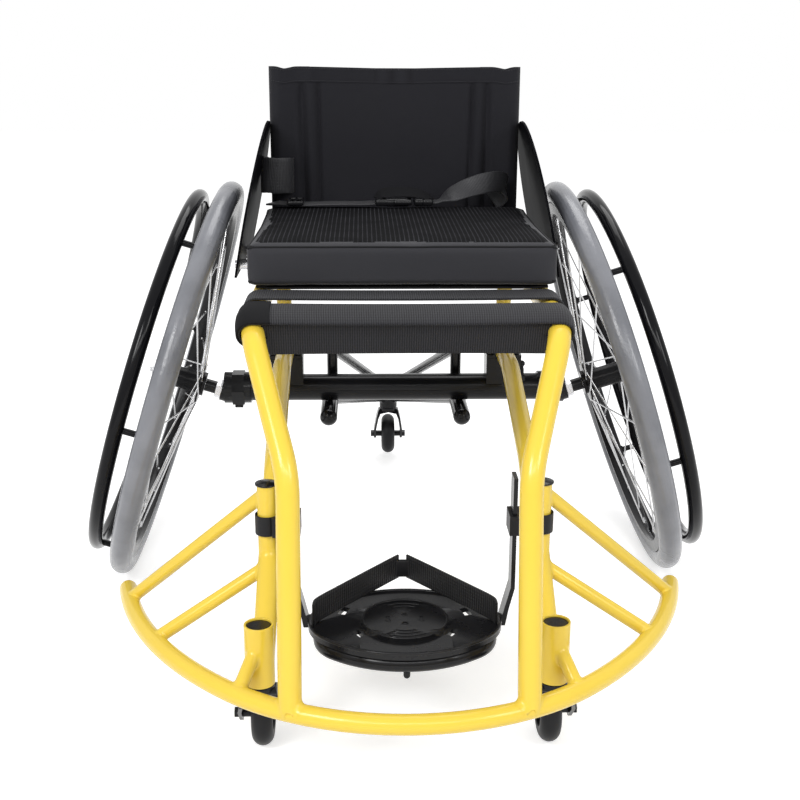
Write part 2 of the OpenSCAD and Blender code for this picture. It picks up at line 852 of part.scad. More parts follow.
module front_strap() color(soft_black) from_axle() front_strap_solid();

// The calf strap hangs behind the bends, its lower edge further back.
calf_ahead = 470;
calf_z = 446;
calf_w = 40;

module calf_strap() color(soft_black) from_axle() difference() {
    translate(forward(-rail_x + 2, calf_ahead, calf_z))
        rotate([23, 0, 0]) cube([seat_w - 4, strap_t, calf_w]);
    both_sides() main_solid(2 * soft_gap);
    front_strap_solid();
}

// Lap belt: two webbing halves on the cushion's rear edge, joined by a side-release buckle
belt_w = 38;
belt_t = 2.5;
belt_y = -44;
belt_z = cushion_z + cushion_t + cushion_crown * 0.5 + soft_gap;
buckle_l = 72;
buckle_t = 12;
buckle_x = 6;

module lap_belt() color(soft_black) from_axle() {
    translate([-back_x - 6, belt_y - belt_w / 2, belt_z])
        cube([back_x + 6 + buckle_x - buckle_l / 2, belt_w, belt_t]);
    translate([buckle_x + buckle_l / 2, belt_y - belt_w / 2, belt_z])
        cube([58, belt_w, belt_t]);
    translate([buckle_x + buckle_l / 2 + 58, belt_y - belt_w / 2, belt_z])
        rotate([0, -14, 0]) cube([68, belt_w, belt_t]);
}

module belt_buckle() color(gloss_black) from_axle()
    translate([buckle_x, belt_y, belt_z]) difference() {
        translate([-buckle_l / 2, -belt_w / 2 - 4, 0]) cube([buckle_l, belt_w + 8, buckle_t]);
        for (s = [-1, 1]) {
            translate([s * 4 - 5, s * (belt_w / 2 + 7) - 6, -1]) cube([22, 12, buckle_t + 2]);
            translate([s * (buckle_l / 2 - 8) - 3, -belt_w / 2, -1])
                cube([6, belt_w, buckle_t + 2]);
        }
    }

// Footrest: clamps on the posts, a bent frame that slides in them, the plate and its heel strap
arm_z = foot_post_z - 60;
arm_h = 24;

module footrest_clamps() color(gloss_black) from_axle() both_sides() difference() {
    translate(forward(0, post_ahead, arm_z)) {
        translate([foot_post_x, 0, 0]) cylinder(d = tube_d + 3, h = arm_h);
        translate([hanger_x - hanger_t / 2 - 4, -hanger_w / 2 - 5, 0])
            cube([foot_post_x - hanger_x, hanger_w + 10, arm_h]);
    }
    foot_post_clearance();
    translate(forward(hanger_x, post_ahead, arm_z + arm_h / 2))
        cube([hanger_t + 4 * run_gap, hanger_w + 4 * run_gap, arm_h + 2], center = true);
}

module foot_post_clearance()
    translate(forward(foot_post_x, post_ahead, arm_z - 1))
        cylinder(d = tube_d + 2 * seat_gap, h = arm_h + 2);

hanger_foot_x = 84;
bow_d = 19;
bow_z = plate_z - bow_d / 2 - seat_gap;
bow_r = 130;
bow_path = [
    forward(-hanger_foot_x - 18, post_ahead, bow_z),
    forward(-hanger_foot_x - 12, post_ahead + 55, bow_z),
    forward(0, plate_ahead + plate_half_l + 20, bow_z),
    forward(hanger_foot_x + 12, post_ahead + 55, bow_z),
    forward(hanger_foot_x + 18, post_ahead, bow_z)
];
bow_front = plate_ahead + plate_half_l + 20 - bow_r * (1 / cos(corner_turn(bow_path, 2) / 2) - 1);

// Side view of a hanger: an upright bar, bent inwards and then flat under the plate
module hanger_outline() {
    half = hanger_t / 2;
    flat_from = hanger_foot_x - hanger_x;
    bar_foot = plate_half_w + 0.6 - hanger_x;
    polygon([
        [half, hanger_top - plate_z], [half, 43], [bar_foot + hanger_t + 4.5, 17],
        [bar_foot + hanger_t + 0.5, -hanger_t], [flat_from, -hanger_t], [flat_from, 0],
        [bar_foot, 0], [bar_foot + 4.5, 19], [-half, 44], [-half, hanger_top - plate_z]
    ]);
}

module footrest_frame() color(gloss_black) from_axle() {
    both_sides()
        translate(forward(0, post_ahead - hanger_w / 2, 0)) rotate([90, 0, 0])
            linear_extrude(hanger_w)
                translate([hanger_x, plate_z - seat_gap]) hanger_outline();
    bent_tube(bow_path, [0, 40, bow_r, 40, 0], bow_d);
    translate(forward(0, bow_front, bow_z - bow_d / 2 - 5)) cylinder(d = 8, h = 8);
    translate(forward(0, bow_front, bow_z - bow_d / 2 - 5)) sphere(d = 8);
}

// Footplate outline: an oval of four tangent arcs
plate_end_r = 62;
plate_end_x = plate_half_w - plate_end_r;
plate_side_r = (plate_end_x * plate_end_x + plate_half_l * plate_half_l - plate_end_r * plate_end_r)
    / (2 * (plate_half_l - plate_end_r));
plate_side_c = plate_side_r - plate_half_l;
plate_tangent_x = plate_end_x * plate_side_r / (plate_side_r - plate_end_r);

module plate_outline(inset = 0) {
    both_sides()
        translate([plate_end_x, 0]) circle(r = plate_end_r - inset, $fn = 96);
    intersection() {
        translate([0, plate_side_c]) circle(r = plate_side_r - inset, $fn = 192);
        translate([0, -plate_side_c]) circle(r = plate_side_r - inset, $fn = 192);
        translate([-plate_tangent_x, -200]) square([2 * plate_tangent_x, 400]);
    }
}

// Arc-shaped slot round the plate's centre
module arc_slot(r, w, from, to, z, h)
    translate([0, 0, z]) rotate(from) rotate_extrude(angle = to - from, $fn = 96)
        translate([r - w / 2, 0]) square([w, h]);

groove_r = [31, 38, 45];

module footplate() color(gloss_black) from_axle()
    translate(forward(0, plate_ahead, plate_z)) difference() {
        union() {
            linear_extrude(plate_t) plate_outline();
            translate([0, 0, plate_t]) linear_extrude(2) difference() {
                plate_outline();
                plate_outline(4);
            }
            translate([0, 0, plate_t]) cylinder(d = disc_d, h = disc_t, $fn = 96);
        }
        for (i = [0 : len(groove_r) - 1], turn = [-90, 90])
            arc_slot(groove_r[i], 2.4, turn - 22 - 5 * i, turn + 22 + 5 * i, plate_t + disc_t - 1.2, 3);
        for (a = [-28, 208]) arc_slot(62, 7, a - 8, a + 8, -1, plate_t + 4);
        for (a = [18, 158]) arc_slot(78, 9, a - 7, a + 7, -1, plate_t + 4);
        for (p = [[0, 12], [0, -10], [20, 4], [-20, 4]])
            translate([p[0], p[1], plate_t + disc_t - 2]) cylinder(d = 5, h = 5);
    }

heel_h = 26;
heel_z = plate_z + plate_t + 2 + seat_gap;
heel_rise = 16;

module heel_side() {
    a = forward(plate_half_w - 2.2, plate_ahead + 4, heel_z);
    b = forward(4, plate_ahead - plate_half_l - 9, heel_z + heel_rise);
    run = norm([b[0] - a[0], b[1] - a[1]]);
    translate(a)
        rotate([0, 0, atan2(b[1] - a[1], b[0] - a[0])])
            rotate([0, -atan2(b[2] - a[2], run), 0])
                translate([0, -strap_t / 2, 0]) cube([norm(b - a), strap_t, heel_h]);
}

module heel_strap() color(soft_black) from_axle() {
    both_sides() heel_side();
    translate(forward(-14, plate_ahead - plate_half_l - 3, heel_z + heel_rise - 1))
        cube([28, strap_t + 3, heel_h - 2]);
}

// Rear wheel: hub, crossed spokes, rim, tyre and handrim, drawn about the wheel's own axis
flange_in = -(hub_in - 7);
flange_out = hub_out - 7;

module hub_body() {
    end_r = bearing_d / 2 + 4;
    rotate_extrude() polygon([
        [bearing_d / 2, -hub_in], [end_r, -hub_in], [end_r, flange_in - flange_t],
        [flange_d / 2, flange_in - flange_t / 2], [flange_d / 2, flange_in + flange_t / 2],
        [barrel_d / 2, flange_in + flange_t + 2], [barrel_d / 2, flange_out - flange_t - 2],
        [flange_d / 2, flange_out - flange_t / 2], [flange_d / 2, flange_out + flange_t / 2],
        [end_r, flange_out + flange_t], [end_r, hub_out], [bearing_d / 2, hub_out],
        [bearing_d / 2, hub_out - bearing_w], [pin_d / 2 + 2, hub_out - bearing_w],
        [pin_d / 2 + 2, bearing_w - hub_in], [bearing_d / 2, bearing_w - hub_in]
    ]);
}

module hub(right) color(gloss_black) from_axle() mirror_right(right) wheel_axis() {
    hub_body();
    for (z = [-hub_in, hub_out - bearing_w])
        translate([0, 0, z]) ring(bearing_d - 2 * seat_gap, pin_d + 2 * run_gap, bearing_w);
}

module hub_left() hub(false);

module hub_right() hub(true);

hole_r = flange_d / 2 - 3;
hole_step = 720 / spoke_count;

// One flange's spokes: every second one leads, the others trail and lie on the flange's other face.
module spoke_set(z, offset, lean)
    for (k = [0 : spoke_count / 2 - 1]) {
        way = k % 2 == 0 ? 1 : -1;
        at_hub = k * hole_step + offset;
        at_rim = at_hub + way * spoke_cross * hole_step;
        rod(
            [hole_r * cos(at_hub), hole_r * sin(at_hub), z + way * flange_t / 2],
            [(rim_in_r + 2) * cos(at_rim), (rim_in_r + 2) * sin(at_rim), lean + way * flange_t * 0.4],
            spoke_d
        );
    }

module spokes(right) color(bright_steel) from_axle() mirror_right(right) wheel_axis() {
    spoke_set(flange_in, 0, -2);
    spoke_set(flange_out, hole_step / 2, 2);
}

module spokes_left() spokes(false);

module spokes_right() spokes(true);

module tyre_section(extra = 0)
    translate([tyre_path_r, 0]) circle(d = tyre_d + 2 * extra);

module rim(right) color(gloss_black) from_axle() mirror_right(right) wheel_axis()
    rotate_extrude($fn = 192) difference() {
        polygon([
            [rim_in_r, 5 - rim_w / 2], [rim_in_r + 4, -rim_w / 2], [rim_r, -rim_w / 2],
            [rim_r, rim_w / 2], [rim_in_r + 4, rim_w / 2], [rim_in_r, rim_w / 2 - 5]
        ]);
        tyre_section(seat_gap);
    }

module rim_left() rim(false);

module rim_right() rim(true);

module tyre(right) color(tyre_grey) from_axle() mirror_right(right) wheel_axis()
    rotate_extrude($fn = 192) tyre_section();

module tyre_left() tyre(false);

module tyre_right() tyre(true);

// Stand-off angles are counted from the wheel's top towards its front.
module handrim(right, phase) color(gloss_black) from_axle() mirror_right(right) wheel_axis() {
    translate([0, 0, handrim_off])
        rotate_extrude($fn = 192) translate([handrim_d / 2, 0]) circle(d = handrim_tube_d);
    for (i = [0 : tab_count - 1])
        rotate(180 + phase + i * 360 / tab_count) translate([tab_r, 0, rim_w / 2 + seat_gap]) {
            cylinder(d = tab_d, h = handrim_off - rim_w / 2);
            cylinder(d = tab_d + 4, h = 2.5);
        }
}

module handrim_left() handrim(false, tab_phase_left);

module handrim_right() handrim(true, tab_phase_right);

// Caster: the swivel axis is local Z, the floor is z = 0 and the wheel trails towards +Y.
axle_h = caster_d / 2;
leg_in = caster_w / 2 + 10.3;
leg_t = 4.2;
bolt_d = 8;

module fork(arch, stem_top) {
    top = arch + 8;
    foot = axle_h - 9;
    half = [
        [0, arch], [leg_in - 8, arch - 3], [leg_in - 4, arch - 13], [leg_in, axle_h + 13],
        [leg_in, foot], [leg_in + leg_t, foot], [leg_in + leg_t, axle_h + 14],
        [leg_in, arch - 12], [leg_in - 4, arch + 3], [leg_in - 9, top - 1], [0, top - 1]
    ];
    difference() {
        union() {
            intersection() {
                rotate([90, 0, 0]) translate([0, 0, -60]) linear_extrude(90) both_sides()
                    polygon(half);
                rotate([90, 0, 90]) translate([0, 0, -40]) linear_extrude(80)
                    tapered_bar([0, arch - 8], 15, [trail, axle_h], 9);
            }
            translate([0, 0, top - 6]) cylinder(d = housing_d - 1, h = 6);
            translate([0, 0, top - 1]) cylinder(d = stem_d, h = stem_top - top + 1);
        }
        translate([-40, trail, axle_h]) rotate([0, 90, 0])
            cylinder(d = bolt_d + 2 * seat_gap, h = 80);
    }
}

module caster_wheel() {
    core_r = caster_d / 2 - caster_w * 0.7;
    translate([0, trail, axle_h]) rotate([0, 90, 0]) {
        rotate_extrude($fn = 96) difference() {
            translate([caster_d / 2 - caster_w / 2, 0]) circle(d = caster_w);
            translate([0, -caster_w]) square([core_r, 2 * caster_w]);
        }
        rotate_extrude($fn = 96) polygon([
            [bolt_d / 2 + run_gap, -caster_w / 2 + 2], [9, -caster_w / 2 + 2],
            [9, -caster_w / 2 + 4], [core_r - seat_gap, -caster_w / 2 + 5],
            [core_r - seat_gap, caster_w / 2 - 5], [9, caster_w / 2 - 4],
            [9, caster_w / 2 - 2], [bolt_d / 2 + run_gap, caster_w / 2 - 2]
        ]);
    }
}

// Bolt with its two spacers, and a lock nut at the other end
module caster_bolt() {
    spacer_from = caster_w / 2 - 1.8;
    translate([0, trail, axle_h]) rotate([0, 90, 0]) {
        translate([0, 0, -leg_in - leg_t - 3]) cylinder(d = bolt_d, h = 2 * (leg_in + leg_t + 3));
        for (m = [0, 1]) mirror([0, 0, m]) {
            translate([0, 0, spacer_from]) cylinder(d = 11, h = leg_in - spacer_from - seat_gap);
            translate([0, 0, leg_in + leg_t + seat_gap]) cylinder(d = 13, h = 6, $fn = 6);
        }
    }
}

module at_swivel(right) mirror_right(right) translate(forward(swivel_x, swivel_ahead, 0)) children();

module at_antitip() translate([0, anti_back, anti_gap]) children();

module caster_fork(right) color(gloss_black) from_axle() at_swivel(right)
    fork(front_arch, housing_z + housing_h - 8);

module caster_fork_left() caster_fork(false);

module caster_fork_right() caster_fork(true);

module antitip_fork() color(gloss_black) from_axle() at_antitip()
    fork(rear_arch, anti_base + anti_h - anti_gap - 8);

module caster_wheel_left() color(soft_black) from_axle() at_swivel(false) caster_wheel();

module caster_wheel_right() color(soft_black) from_axle() at_swivel(true) caster_wheel();

module antitip_wheel() color(soft_black) from_axle() at_antitip() caster_wheel();

module caster_axle_left() color(bright_steel) from_axle() at_swivel(false) caster_bolt();

module caster_axle_right() color(bright_steel) from_axle() at_swivel(true) caster_bolt();

module antitip_axle() color(bright_steel) from_axle() at_antitip() caster_bolt();

main_tube_left();
main_tube_right();
bumper();
lower_tube_left();
lower_tube_right();
rear_uprights();
footrest_posts();
upper_struts();
lower_struts();
bumper_stubs();
caster_housings();
caster_bearings();
tube_caps();
camber_bar();
camber_plugs();
axle_sleeves();
axle_nuts();
axle_pins();
bar_clamps();
clamp_screws();
rear_cross_tube();
antitip_tubes();
antitip_braces();
antitip_housing();
back_posts();
seat_sling();
cushion();
backrest_canvas();
side_guards();
guard_bolts();
seat_strap();
front_strap();
calf_strap();
lap_belt();
belt_buckle();
footrest_clamps();
footrest_frame();
footplate();
heel_strap();
axle_button_left();
axle_button_right();
hub_left();
hub_right();
spokes_left();
spokes_right();
rim_left();
rim_right();
tyre_left();
tyre_right();
handrim_left();
handrim_right();
caster_fork_left();
caster_fork_right();
antitip_fork();
caster_wheel_left();
caster_wheel_right();
antitip_wheel();
caster_axle_left();
caster_axle_right();
antitip_axle();
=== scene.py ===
"""Sports wheelchair: the looks of every sub-assembly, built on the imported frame.

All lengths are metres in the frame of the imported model: the rider faces -Y and sits between
+X, the left, and -X, the right.
"""

import json
import logging
import math
from dataclasses import dataclass, field
from enum import Enum
from typing import Callable, Iterable, Sequence

import bmesh
import bpy
from mathutils import Matrix, Vector
from mathutils.bvhtree import BVHTree

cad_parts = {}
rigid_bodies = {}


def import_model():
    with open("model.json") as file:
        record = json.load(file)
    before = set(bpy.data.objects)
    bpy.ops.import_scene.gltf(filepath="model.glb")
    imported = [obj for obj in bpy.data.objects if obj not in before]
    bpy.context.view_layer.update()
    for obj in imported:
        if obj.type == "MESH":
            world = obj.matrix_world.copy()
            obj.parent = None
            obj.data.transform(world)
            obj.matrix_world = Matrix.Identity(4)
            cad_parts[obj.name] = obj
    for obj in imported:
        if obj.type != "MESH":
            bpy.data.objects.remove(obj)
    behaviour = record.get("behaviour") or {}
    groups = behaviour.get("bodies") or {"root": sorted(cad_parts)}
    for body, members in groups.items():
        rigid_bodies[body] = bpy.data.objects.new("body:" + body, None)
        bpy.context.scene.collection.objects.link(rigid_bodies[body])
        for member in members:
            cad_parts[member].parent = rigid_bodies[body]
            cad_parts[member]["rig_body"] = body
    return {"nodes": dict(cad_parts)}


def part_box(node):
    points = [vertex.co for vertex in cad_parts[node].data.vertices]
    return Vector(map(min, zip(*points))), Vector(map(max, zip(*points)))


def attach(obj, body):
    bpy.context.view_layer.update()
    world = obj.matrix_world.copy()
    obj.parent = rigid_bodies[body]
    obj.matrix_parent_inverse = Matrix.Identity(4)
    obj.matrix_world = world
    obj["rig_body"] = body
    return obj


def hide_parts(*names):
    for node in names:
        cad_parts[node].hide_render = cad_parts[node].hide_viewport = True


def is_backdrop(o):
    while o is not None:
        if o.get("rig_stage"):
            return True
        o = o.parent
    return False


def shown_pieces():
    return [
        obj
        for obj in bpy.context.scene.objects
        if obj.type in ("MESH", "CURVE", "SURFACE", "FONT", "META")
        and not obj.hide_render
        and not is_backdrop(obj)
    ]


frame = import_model()

LOG = logging.getLogger("wheelchair")
Colour = tuple[float, float, float]
MM = 0.001


class Body(Enum):
    """The rigid bodies that pieces ride on."""

    FRAME = "frame"
    FOOTREST = "footrest"


class Texture(Enum):
    """What a finish shows at close range."""

    PAINT = "paint"
    GRAIN = "grain"
    BRUSHED = "brushed"
    WEAVE = "weave"
    RIBS = "ribs"
    SPACER_MESH = "spacer mesh"


def corners(node: str) -> tuple[Vector, Vector]:
    """The lowest and highest corner of a CAD node."""
    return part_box(node)


def middle(node: str) -> Vector:
    """The centre of a CAD node's box."""
    low, high = corners(node)
    return (low + high) / 2


AXLE_Y = middle("camber_bar").y


def at(x: float, ahead: float, z: float) -> Vector:
    """A point from its distance left of the centre plane, ahead of the axle and over the floor.

    Args:
        x: Millimetres to the rider's left.
        ahead: Millimetres in front of the rear axle.
        z: Millimetres over the floor.

    Returns:
        The point in metres in the model's frame.
    """
    return Vector((x * MM, AXLE_Y - ahead * MM, z * MM))


# Shader graphs


class Graph:
    """A node tree that nodes are added to and joined in."""

    def __init__(self, tree: bpy.types.NodeTree) -> None:
        """Keeps the tree."""
        self.tree = tree

    def node(self, kind: str, **settings: object) -> bpy.types.Node:
        """Adds a node and sets its attributes.

        Args:
            kind: Blender's name for the node type.
            **settings: Attribute values of the node.

        Returns:
            The new node.
        """
        made = self.tree.nodes.new(kind)
        for name, value in settings.items():
            setattr(made, name, value)
        return made

    def feed(self, target: bpy.types.NodeSocket, source: object) -> None:
        """Joins a socket to a target, or writes a plain value there."""
        if isinstance(source, bpy.types.NodeSocket):
            self.tree.links.new(source, target)
        else:
            target.default_value = source

    def maths(self, operation: str, *values: object) -> bpy.types.NodeSocket:
        """The result of a Math node.

        Args:
            operation: The node's operation.
            *values: Sockets or numbers, in the node's order.

        Returns:
            The node's output socket.
        """
        made = self.node("ShaderNodeMath", operation=operation)
        for socket, value in zip(made.inputs, values):
            self.feed(socket, value)
        return made.outputs[0]

    def mix(self, share: object, low: object, high: object) -> bpy.types.NodeSocket:
        """A colour between low and high.

        Args:
            share: Socket or number from 0 to 1.
            low: Colour or socket at 0.
            high: Colour or socket at 1.

        Returns:
            The mixed colour's socket.
        """
        made = self.node("ShaderNodeMix", data_type="RGBA")
        self.feed(made.inputs[0], share)
        self.feed(made.inputs[6], low)
        self.feed(made.inputs[7], high)
        return made.outputs[2]

    def noise(self, vector: object, scale: object, detail: float = 3.0) -> bpy.types.NodeSocket:
        """A noise value round 0.5.

        Args:
            vector: Socket of the place.
            scale: Socket or number, in cycles a metre.
            detail: Octaves.

        Returns:
            The noise's value socket.
        """
        made = self.node("ShaderNodeTexNoise")
        made.inputs["Detail"].default_value = detail
        self.feed(made.inputs["Vector"], vector)
        self.feed(made.inputs["Scale"], scale)
        return made.outputs["Fac"]

    def between(self, value: object, low: float, high: float) -> bpy.types.NodeSocket:
        """Value spread so that low gives 0 and high gives 1.

        Args:
            value: Socket to spread.
            low: Value that becomes 0.
            high: Value that becomes 1.

        Returns:
            The spread value's socket.
        """
        made = self.node("ShaderNodeMapRange")
        self.feed(made.inputs[0], value)
        made.inputs[1].default_value = low
        made.inputs[2].default_value = high
        return made.outputs[0]


def new_group(name: str, inputs: Sequence[tuple[str, str, object]],
              outputs: Sequence[tuple[str, str]]) -> tuple[Graph, bpy.types.Node, bpy.types.Node]:
    """Starts a node group.

    Args:
        name: The group's name.
        inputs: Label, socket type and first value of each input.
        outputs: Label and socket type of each output.

    Returns:
        The group's graph, its input node and its output node.
    """
    tree = bpy.data.node_groups.new(name, "ShaderNodeTree")
    for label, kind, value in inputs:
        socket = tree.interface.new_socket(label, in_out="INPUT", socket_type=kind)
        if value is not None:
            socket.default_value = value
    for label, kind in outputs:
        tree.interface.new_socket(label, in_out="OUTPUT", socket_type=kind)
    graph = Graph(tree)
    return graph, graph.node("NodeGroupInput"), graph.node("NodeGroupOutput")


FLOAT = "NodeSocketFloat"
COLOUR = "NodeSocketColor"
VECTOR = "NodeSocketVector"


def wear_group() -> bpy.types.NodeTree:
    """Soft patches of a second colour, uneven gloss and a fine grain."""
    graph, given, out = new_group(
        "Surface wear",
        [("Vector", VECTOR, None), ("Colour", COLOUR, None), ("Tint", COLOUR, None),
         ("Patch scale", FLOAT, 14.0), ("Patch amount", FLOAT, 0.2), ("Roughness", FLOAT, 0.4),
         ("Gloss spread", FLOAT, 0.1), ("Grain scale", FLOAT, 900.0)],
        [("Colour", COLOUR), ("Roughness", FLOAT), ("Height", FLOAT)],
    )
    patches = graph.noise(given.outputs["Vector"], given.outputs["Patch scale"], 5.0)
    share = graph.maths("MULTIPLY", graph.between(patches, 0.42, 0.72), given.outputs["Patch amount"])
    graph.feed(out.inputs["Colour"],
               graph.mix(share, given.outputs["Colour"], given.outputs["Tint"]))
    uneven = graph.maths("MULTIPLY", graph.maths("SUBTRACT", patches, 0.5),
                         given.outputs["Gloss spread"])
    graph.feed(out.inputs["Roughness"], graph.maths("ADD", given.outputs["Roughness"], uneven))
    graph.feed(out.inputs["Height"],
               graph.noise(given.outputs["Vector"], given.outputs["Grain scale"], 2.0))
    return graph.tree


def weave_group() -> bpy.types.NodeTree:
    """Plain weave of threads that go over and under each other."""
    graph, given, out = new_group(
        "Plain weave",
        [("Vector", VECTOR, None), ("Threads", FLOAT, 900.0)],
        [("Height", FLOAT), ("Gap", FLOAT)],
    )
    scaled = graph.node("ShaderNodeVectorMath", operation="SCALE")
    graph.feed(scaled.inputs[0], given.outputs["Vector"])
    graph.feed(scaled.inputs["Scale"], given.outputs["Threads"])
    parts = graph.node("ShaderNodeSeparateXYZ")
    graph.feed(parts.inputs[0], scaled.outputs[0])
    warp = graph.maths("ABSOLUTE", graph.maths("SINE", graph.maths("MULTIPLY", parts.outputs[0], math.pi)))
    weft = graph.maths("ABSOLUTE", graph.maths("SINE", graph.maths("MULTIPLY", parts.outputs[1], math.pi)))
    odd = graph.maths("PINGPONG", graph.maths(
        "ADD", graph.maths("FLOOR", parts.outputs[0]), graph.maths("FLOOR", parts.outputs[1])), 1.0)
    over = graph.maths("MULTIPLY", warp, graph.maths("SUBTRACT", 1.0, odd))
    under = graph.maths("MULTIPLY", weft, odd)
    height = graph.maths("ADD", over, under)
    graph.feed(out.inputs["Height"], height)
    # Gap marks the hollows between threads, which the finishes darken as painted shade.
    graph.feed(out.inputs["Gap"], graph.maths("SUBTRACT", 1.0, graph.maths("MULTIPLY", warp, weft)))
    return graph.tree


def ribs_group() -> bpy.types.NodeTree:
    """Cross ribs of a webbing, with fine cords that run along it."""
    graph, given, out = new_group(
        "Webbing ribs",
        [("Vector", VECTOR, None), ("Pitch", FLOAT, 0.0016), ("Cord pitch", FLOAT, 0.0042)],
        [("Height", FLOAT), ("Gap", FLOAT)],
    )
    parts = graph.node("ShaderNodeSeparateXYZ")
    graph.feed(parts.inputs[0], given.outputs["Vector"])
    along = graph.maths("DIVIDE", parts.outputs[0], given.outputs["Pitch"])
    across = graph.maths("DIVIDE", parts.outputs[1], given.outputs["Cord pitch"])
    rib = graph.maths("ABSOLUTE", graph.maths("SINE", graph.maths("MULTIPLY", along, math.pi)))
    cord = graph.maths("ABSOLUTE", graph.maths("SINE", graph.maths("MULTIPLY", across, math.pi)))
    height = graph.maths("ADD", graph.maths("MULTIPLY", rib, 0.75), graph.maths("MULTIPLY", cord, 0.25))
    graph.feed(out.inputs["Height"], height)
    # Gap marks the furrows between ribs, which the finishes darken as painted shade.
    graph.feed(out.inputs["Gap"], graph.maths("SUBTRACT", 1.0, rib))
    return graph.tree


def spacer_group() -> bpy.types.NodeTree:
    """Rows of small open cells of a knitted spacer mesh, in ridges that run front to back; the dashes on the
    ridge tops are painted highlights.
    """
    graph, given, out = new_group(
        "Spacer mesh",
        [("Vector", VECTOR, None), ("Row pitch", FLOAT, 0.0056), ("Cell pitch", FLOAT, 0.0042)],
        [("Height", FLOAT), ("Gap", FLOAT)],
    )
    parts = graph.node("ShaderNodeSeparateXYZ")
    graph.feed(parts.inputs[0], given.outputs["Vector"])
    row = graph.maths("DIVIDE", parts.outputs[0], given.outputs["Row pitch"])
    shift = graph.maths("MULTIPLY", graph.maths("PINGPONG", graph.maths("FLOOR", row), 1.0), 0.5)
    cell = graph.maths("ADD", graph.maths("DIVIDE", parts.outputs[1], given.outputs["Cell pitch"]), shift)
    ridge = graph.maths("ABSOLUTE", graph.maths("SINE", graph.maths("MULTIPLY", row, math.pi)))
    dots = graph.maths("ABSOLUTE", graph.maths("SINE", graph.maths("MULTIPLY", cell, math.pi)))
    # The dashes on the ridge tops keep the finish's colour as painted highlights; the Gap, everything else, is
    # darkened as painted shade in the cells and furrows.
    dash = graph.maths("MULTIPLY", graph.between(ridge, 0.89, 0.99), graph.between(dots, 0.4, 0.75))
    graph.feed(out.inputs["Height"], dash)
    graph.feed(out.inputs["Gap"], graph.maths("SUBTRACT", 1.0, dash))
    return graph.tree


GROUPS: dict[str, bpy.types.NodeTree] = {}


def shared_group(make: Callable[[], bpy.types.NodeTree]) -> bpy.types.NodeTree:
    """The node group of a maker function, made once."""
    if make.__name__ not in GROUPS:
        GROUPS[make.__name__] = make()
    return GROUPS[make.__name__]


